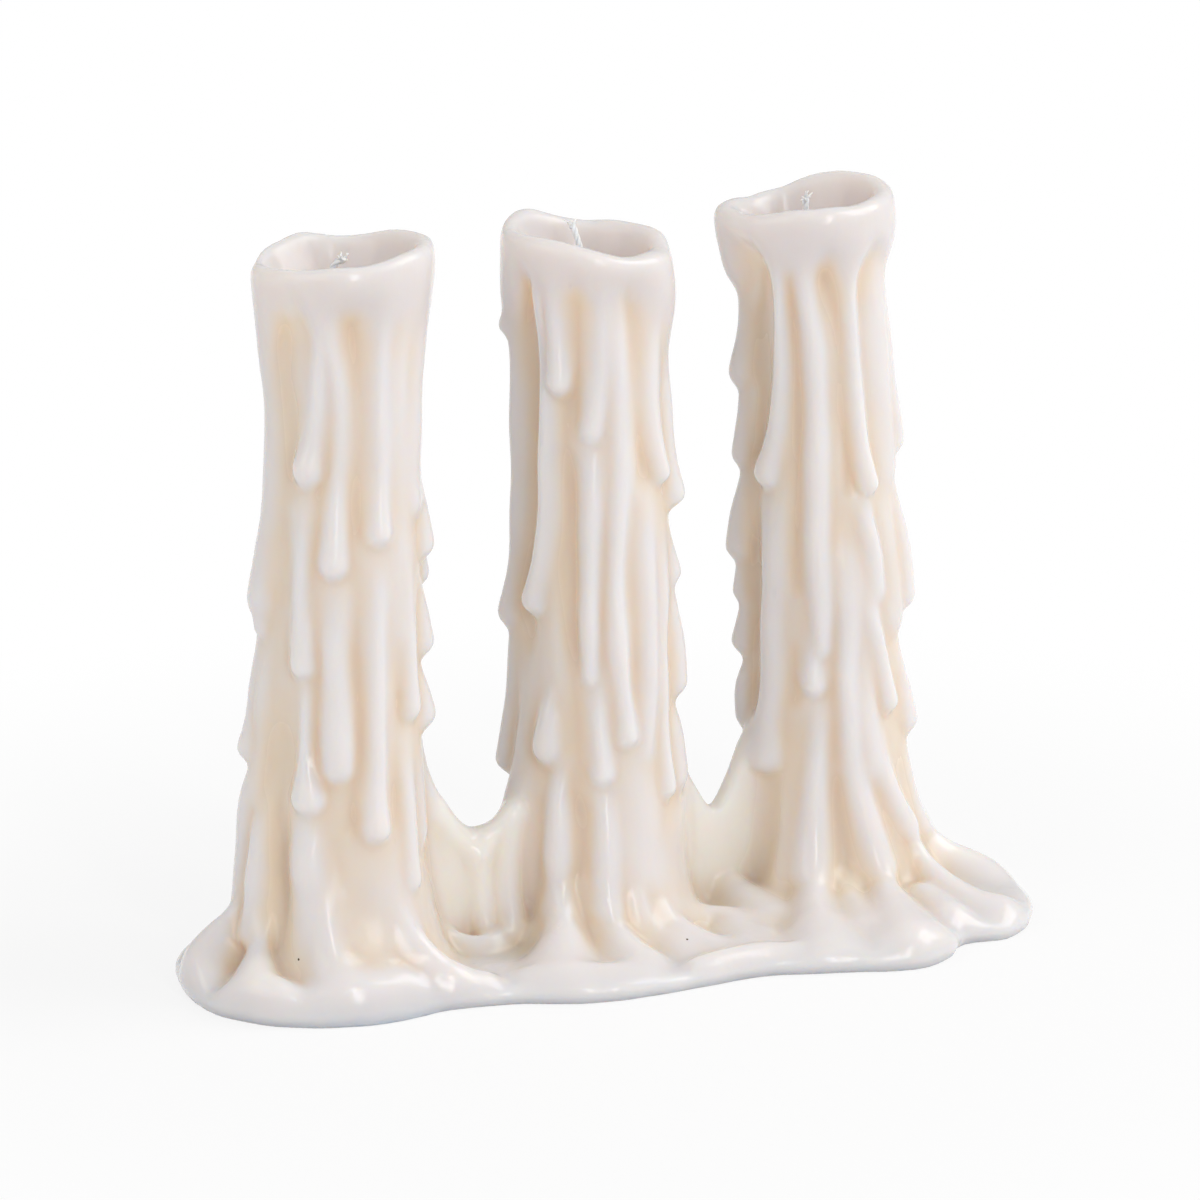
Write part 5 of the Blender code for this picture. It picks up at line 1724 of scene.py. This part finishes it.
@dataclass(frozen=True)
class Wick:
    """A braided cotton wick: three strands twisted round a line, frayed at the tip.

    Attributes:
        pillar: The pillar that it runs through.
        bends: X, Y from the pillar's axis and height of the places that it bends through.
        fibres: Number of loose fibres at the tip.
    """

    pillar: Pillar
    bends: tuple[tuple[float, float, float], ...]
    fibres: int = 9
    foot: float = 0.3
    strands: int = 3
    strand_radius: float = 0.46
    twist_radius: float = 0.26
    pitch: float = 5.2
    step: float = 0.45
    fibre_radius: float = 0.24
    fibre_length: float = 1.3
    sides: int = 8

    def line(self) -> Array:
        """The wick's middle line: up the pillar's axis to the first bend, then through the bends.

        The bends are joined by straight lines, averaged over a stretch.
        """
        start = self.bends[0][2]
        heights = np.arange(self.foot, start, self.step * 2)
        row = np.full(len(heights), self.pillar.row_y)
        inside = np.stack([self.pillar.axis_x(heights), row, heights], axis=1)
        bends = np.array(self.bends) + (self.pillar.axis_x(start), self.pillar.row_y, 0)
        count = len(bends)
        share = np.linspace(0, count - 1, round((bends[-1, 2] - start) / self.step))
        spread = np.linspace(-0.4, 0.4, 5)
        lines = [
            [np.interp(share + shift, np.arange(count), axis) for axis in bends.T] for shift in spread
        ]
        return np.concatenate([inside, np.mean(lines, axis=0).T])

    def tube(self, line: Array, radii: Array) -> tuple[Array, Array]:
        """Sweep a circle along a line, closed at both ends by a point.

        Each ring lies across the line's direction, on two directions square to it.
        """
        along = np.gradient(line, axis=0)
        along /= np.linalg.norm(along, axis=1, keepdims=True)
        side = np.cross(along, (0.31, 0.95, 0.02))
        side /= np.linalg.norm(side, axis=1, keepdims=True)
        other = np.cross(along, side)
        turn = np.linspace(0, 2 * np.pi, self.sides, endpoint=False)[None, :, None]
        spokes = np.cos(turn) * side[:, None] + np.sin(turn) * other[:, None]
        rings = line[:, None] + radii[:, None, None] * spokes
        count = len(line)
        here = np.arange(self.sides)
        after = np.roll(here, -1)
        base = (np.arange(count - 1) * self.sides)[:, None]
        above = base + self.sides
        walls = np.stack([base + here, base + after, above + after, above + here], axis=-1)
        first = np.full(self.sides, count * self.sides)
        last = first + 1
        top = (count - 1) * self.sides
        caps = [
            np.stack([after, here, first, first], axis=-1),
            np.stack([top + here, top + after, last, last], axis=-1),
        ]
        places = np.concatenate([rings.reshape(-1, 3), line[:1], line[-1:]])
        return places, np.concatenate([walls.reshape(-1, 4), *caps])

    def twist(self, line: Array) -> Iterable[tuple[Array, Array]]:
        """Wind the strands round the line: a circle of the twist's radius, a turn in each pitch."""
        length = np.concatenate([[0], np.cumsum(np.linalg.norm(np.diff(line, axis=0), axis=1))])
        for strand in range(self.strands):
            turn = 2 * np.pi * (length / self.pitch + strand / self.strands)
            winding = np.stack([np.cos(turn), np.sin(turn), 0 * turn], axis=1) * self.twist_radius
            loosen = 1 + 0.5 * ease((length - length[-1] + 3) / 3)[:, None]
            yield self.tube(line + winding * loosen, np.full(len(line), self.strand_radius))

    def fray(self, line: Array) -> Iterable[tuple[Array, Array]]:
        """Loose fibres that fan out of the tip: each curls away from the line with the square of the way."""
        rng = np.random.default_rng(round(abs(self.pillar.foot_x)))
        share = np.linspace(0, 1, 9)[:, None]
        ahead = line[-1] - line[-4]
        ahead /= np.linalg.norm(ahead)
        for _ in range(self.fibres):
            aim = ahead + rng.normal(size=3) * 0.35
            curl = rng.normal(size=3) * 0.8
            length = self.fibre_length * rng.uniform(0.5, 1.0)
            start = line[-4] + rng.normal(size=3) * 0.35
            path = start + length * (aim * share + curl * share**2)
            yield self.tube(path, self.fibre_radius * (1.15 - 0.6 * share[:, 0]))

    def build(self) -> bpy.types.Object:
        """Join the strands and the fibres into one piece."""
        line = self.line()
        parts = [*self.twist(line), *self.fray(line)]
        offsets = np.cumsum([0, *(len(places) for places, _ in parts[:-1])])
        vertices = np.concatenate([places for places, _ in parts])
        faces = np.concatenate([faces + offset for (_, faces), offset in zip(parts, offsets)])
        walls = [face if face[2] != face[3] else face[:3] for face in faces.tolist()]
        mesh = bpy.data.meshes.new(f"{self.pillar.name}_wick")
        mesh.from_pydata(vertices * MM, (), walls)
        mesh.shade_smooth()
        piece = bpy.data.objects.new(mesh.name, mesh)
        bpy.context.scene.collection.objects.link(piece)
        return piece

    def dress(self, piece: bpy.types.Object, finish: bpy.types.Material) -> None:
        """Give the wick its finish and its place in the frame."""
        piece.data.materials.append(finish)
        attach(piece, "root")
        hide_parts(f"wick_{self.pillar.name}")


WICKS = (
    Wick(LEFT, ((0, 0, 145), (-1.4, 0.7, 151), (-1.9, 1.0, 154.5), (-1.1, 0.6, 157.2), (0.8, -0.2, 158.0))),
    Wick(MIDDLE, ((0, 0, 143), (-1.0, 0.4, 150), (-1.7, 0.9, 155), (-1.9, 2.7, 158), (-2.1, 4.6, 160.4)), 4),
    Wick(RIGHT, ((0, 0, 146), (-0.6, 0.3, 153), (-1.0, 0.5, 158), (-1.0, 0.7, 162.0)), 12),
)


# --------------------------------------------------------------------------- the studio


@dataclass(frozen=True)
class Lamp:
    """A soft lamp, square unless it has a height of its own.

    Attributes:
        azimuth: Where it stands, in degrees round the candle from the front.
        elevation: How high it stands, in degrees.
        distance: How far away it is, in metres.
        size: Its width, in metres.
        watts: Its power.
        height: Its height in metres, or nought for a square.
    """

    name: str
    azimuth: float
    elevation: float
    distance: float
    size: float
    watts: float
    height: float = 0.0

    def light(self, aim: Vector) -> None:
        """Hang the lamp and turn it to the candle."""
        data = bpy.data.lights.new(self.name, "AREA")
        data.shape = "RECTANGLE"
        data.size = self.size
        data.size_y = self.height or self.size
        data.energy = self.watts
        lamp = bpy.data.objects.new(self.name, data)
        lamp.location = aim + direction(self.azimuth, self.elevation) * self.distance
        lamp.rotation_euler = (aim - lamp.location).to_track_quat("-Z", "Y").to_euler()
        bpy.context.scene.collection.objects.link(lamp)


def direction(azimuth: float, elevation: float) -> Vector:
    """Point from the candle at an azimuth from the front, positive towards +X, and an elevation."""
    turn, tilt = math.radians(azimuth), math.radians(elevation)
    return Vector((math.sin(turn) * math.cos(tilt), -math.cos(turn) * math.cos(tilt), math.sin(tilt)))


@dataclass(frozen=True)
class Studio:
    """A plain pale floor, soft light and a camera at the front left.

    Attributes:
        aim: What the camera and the lamps point at, in millimetres.
        camera_distance: How far the camera stands, in metres.
    """

    aim: tuple[float, float, float] = (-0.5, 9.0, 77.3)
    azimuth: float = -28.0
    elevation: float = 15.0
    camera_distance: float = 1.0
    focal_length: float = 138.0
    floor_side: float = 8.0
    floor_colour: Colour = (0.82, 0.82, 0.82, 1.0)
    shadow_share: float = 0.19
    shadow_reach: tuple[float, float] = (0.11, 0.29)
    sky: float = 0.72
    lamps: tuple[Lamp, ...] = (
        Lamp("key", 62, 40, 1.5, 1.0, 11),
        Lamp("strip", -4, 20, 1.5, 0.15, 4.6, 1.05),
        Lamp("fill", -80, 30, 1.7, 1.2, 6),
    )

    def seen_mask(self, recipe: Recipe) -> Wire:
        """One where the camera looks, straight or by a mirror or through glass, else nought."""
        path = recipe.node("ShaderNodeLightPath", {}, {})
        rays = [Wire(recipe, path.outputs[f"Is {kind} Ray"]) for kind in ("Camera", "Glossy", "Transmission")]
        return rays[0].math("MAXIMUM", rays[0], rays[1].math("MAXIMUM", rays[1], rays[2]))

    def floor_finish(self) -> bpy.types.Material:
        """A matte floor that looks white to the camera and keeps a soft share of the shadow."""
        recipe = Recipe("floor")
        matte = recipe.node("ShaderNodeBsdfDiffuse", {}, {"Color": self.floor_colour})
        white = recipe.node("ShaderNodeEmission", {}, {"Color": (1, 1, 1, 1), "Strength": 1.0})
        place = recipe.object_place(EVEN)
        away = recipe.wire("ShaderNodeVectorMath", {"operation": "LENGTH"}, {0: place}, "Value")
        shown = self.shadow_share * (1 - away.between(*self.shadow_reach))
        share = self.seen_mask(recipe) * (1 - shown)
        inputs = {0: share, 1: matte.outputs[0], 2: white.outputs[0]}
        return recipe.finish(recipe.node("ShaderNodeMixShader", {}, inputs))

    def lay_floor(self) -> None:
        """Lay the floor under the candle."""
        side = self.floor_side / 2
        corners = np.array([(-side, -side, 0), (side, -side, 0), (side, side, 0), (-side, side, 0)])
        floor = make_piece("floor", corners, np.array([[0, 1, 2, 3]]))
        floor.data.materials.append(self.floor_finish())

    def light_sky(self) -> None:
        """Light the candle evenly from all round, and show white behind it."""
        world = bpy.data.worlds.new("studio")
        world.use_nodes = True
        bpy.context.scene.world = world
        nodes, links = world.node_tree.nodes, world.node_tree.links
        nodes.clear()
        output = nodes.new("ShaderNodeOutputWorld")
        mixed = nodes.new("ShaderNodeMixShader")
        path = nodes.new("ShaderNodeLightPath")
        for slot, strength in ((1, self.sky), (2, 1.0)):
            back = nodes.new("ShaderNodeBackground")
            back.inputs["Strength"].default_value = strength
            links.new(back.outputs[0], mixed.inputs[slot])
        links.new(path.outputs["Is Camera Ray"], mixed.inputs[0])
        links.new(mixed.outputs[0], output.inputs["Surface"])

    def place_camera(self) -> None:
        """Place the camera."""
        data = bpy.data.cameras.new("camera")
        data.lens = self.focal_length
        camera = bpy.data.objects.new("camera", data)
        aim = Vector(self.aim) * MM
        camera.location = aim + direction(self.azimuth, self.elevation) * self.camera_distance
        camera.rotation_euler = (aim - camera.location).to_track_quat("-Z", "Y").to_euler()
        bpy.context.scene.collection.objects.link(camera)
        bpy.context.scene.camera = camera

    def set_up(self) -> None:
        """Build the studio."""
        self.lay_floor()
        self.light_sky()
        for lamp in self.lamps:
            lamp.light(Vector(self.aim) * MM)
        self.place_camera()
        bpy.context.scene.view_settings.view_transform = "Standard"


def main() -> None:
    """Build the candle and its studio in the frame."""
    logging.basicConfig(level=logging.INFO)
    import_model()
    wax = WaxBody(*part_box("wax_body"))
    body = wax.build()
    wax.dress(body)
    LOG.info("wax: %d triangles", count_triangles(body))
    cotton = WickFinish().make()
    for wick in WICKS:
        piece = wick.build()
        wick.dress(piece, cotton)
        LOG.info("%s: %d triangles", piece.name, count_triangles(piece))
    Studio().set_up()


if __name__ == "__main__":
    main()
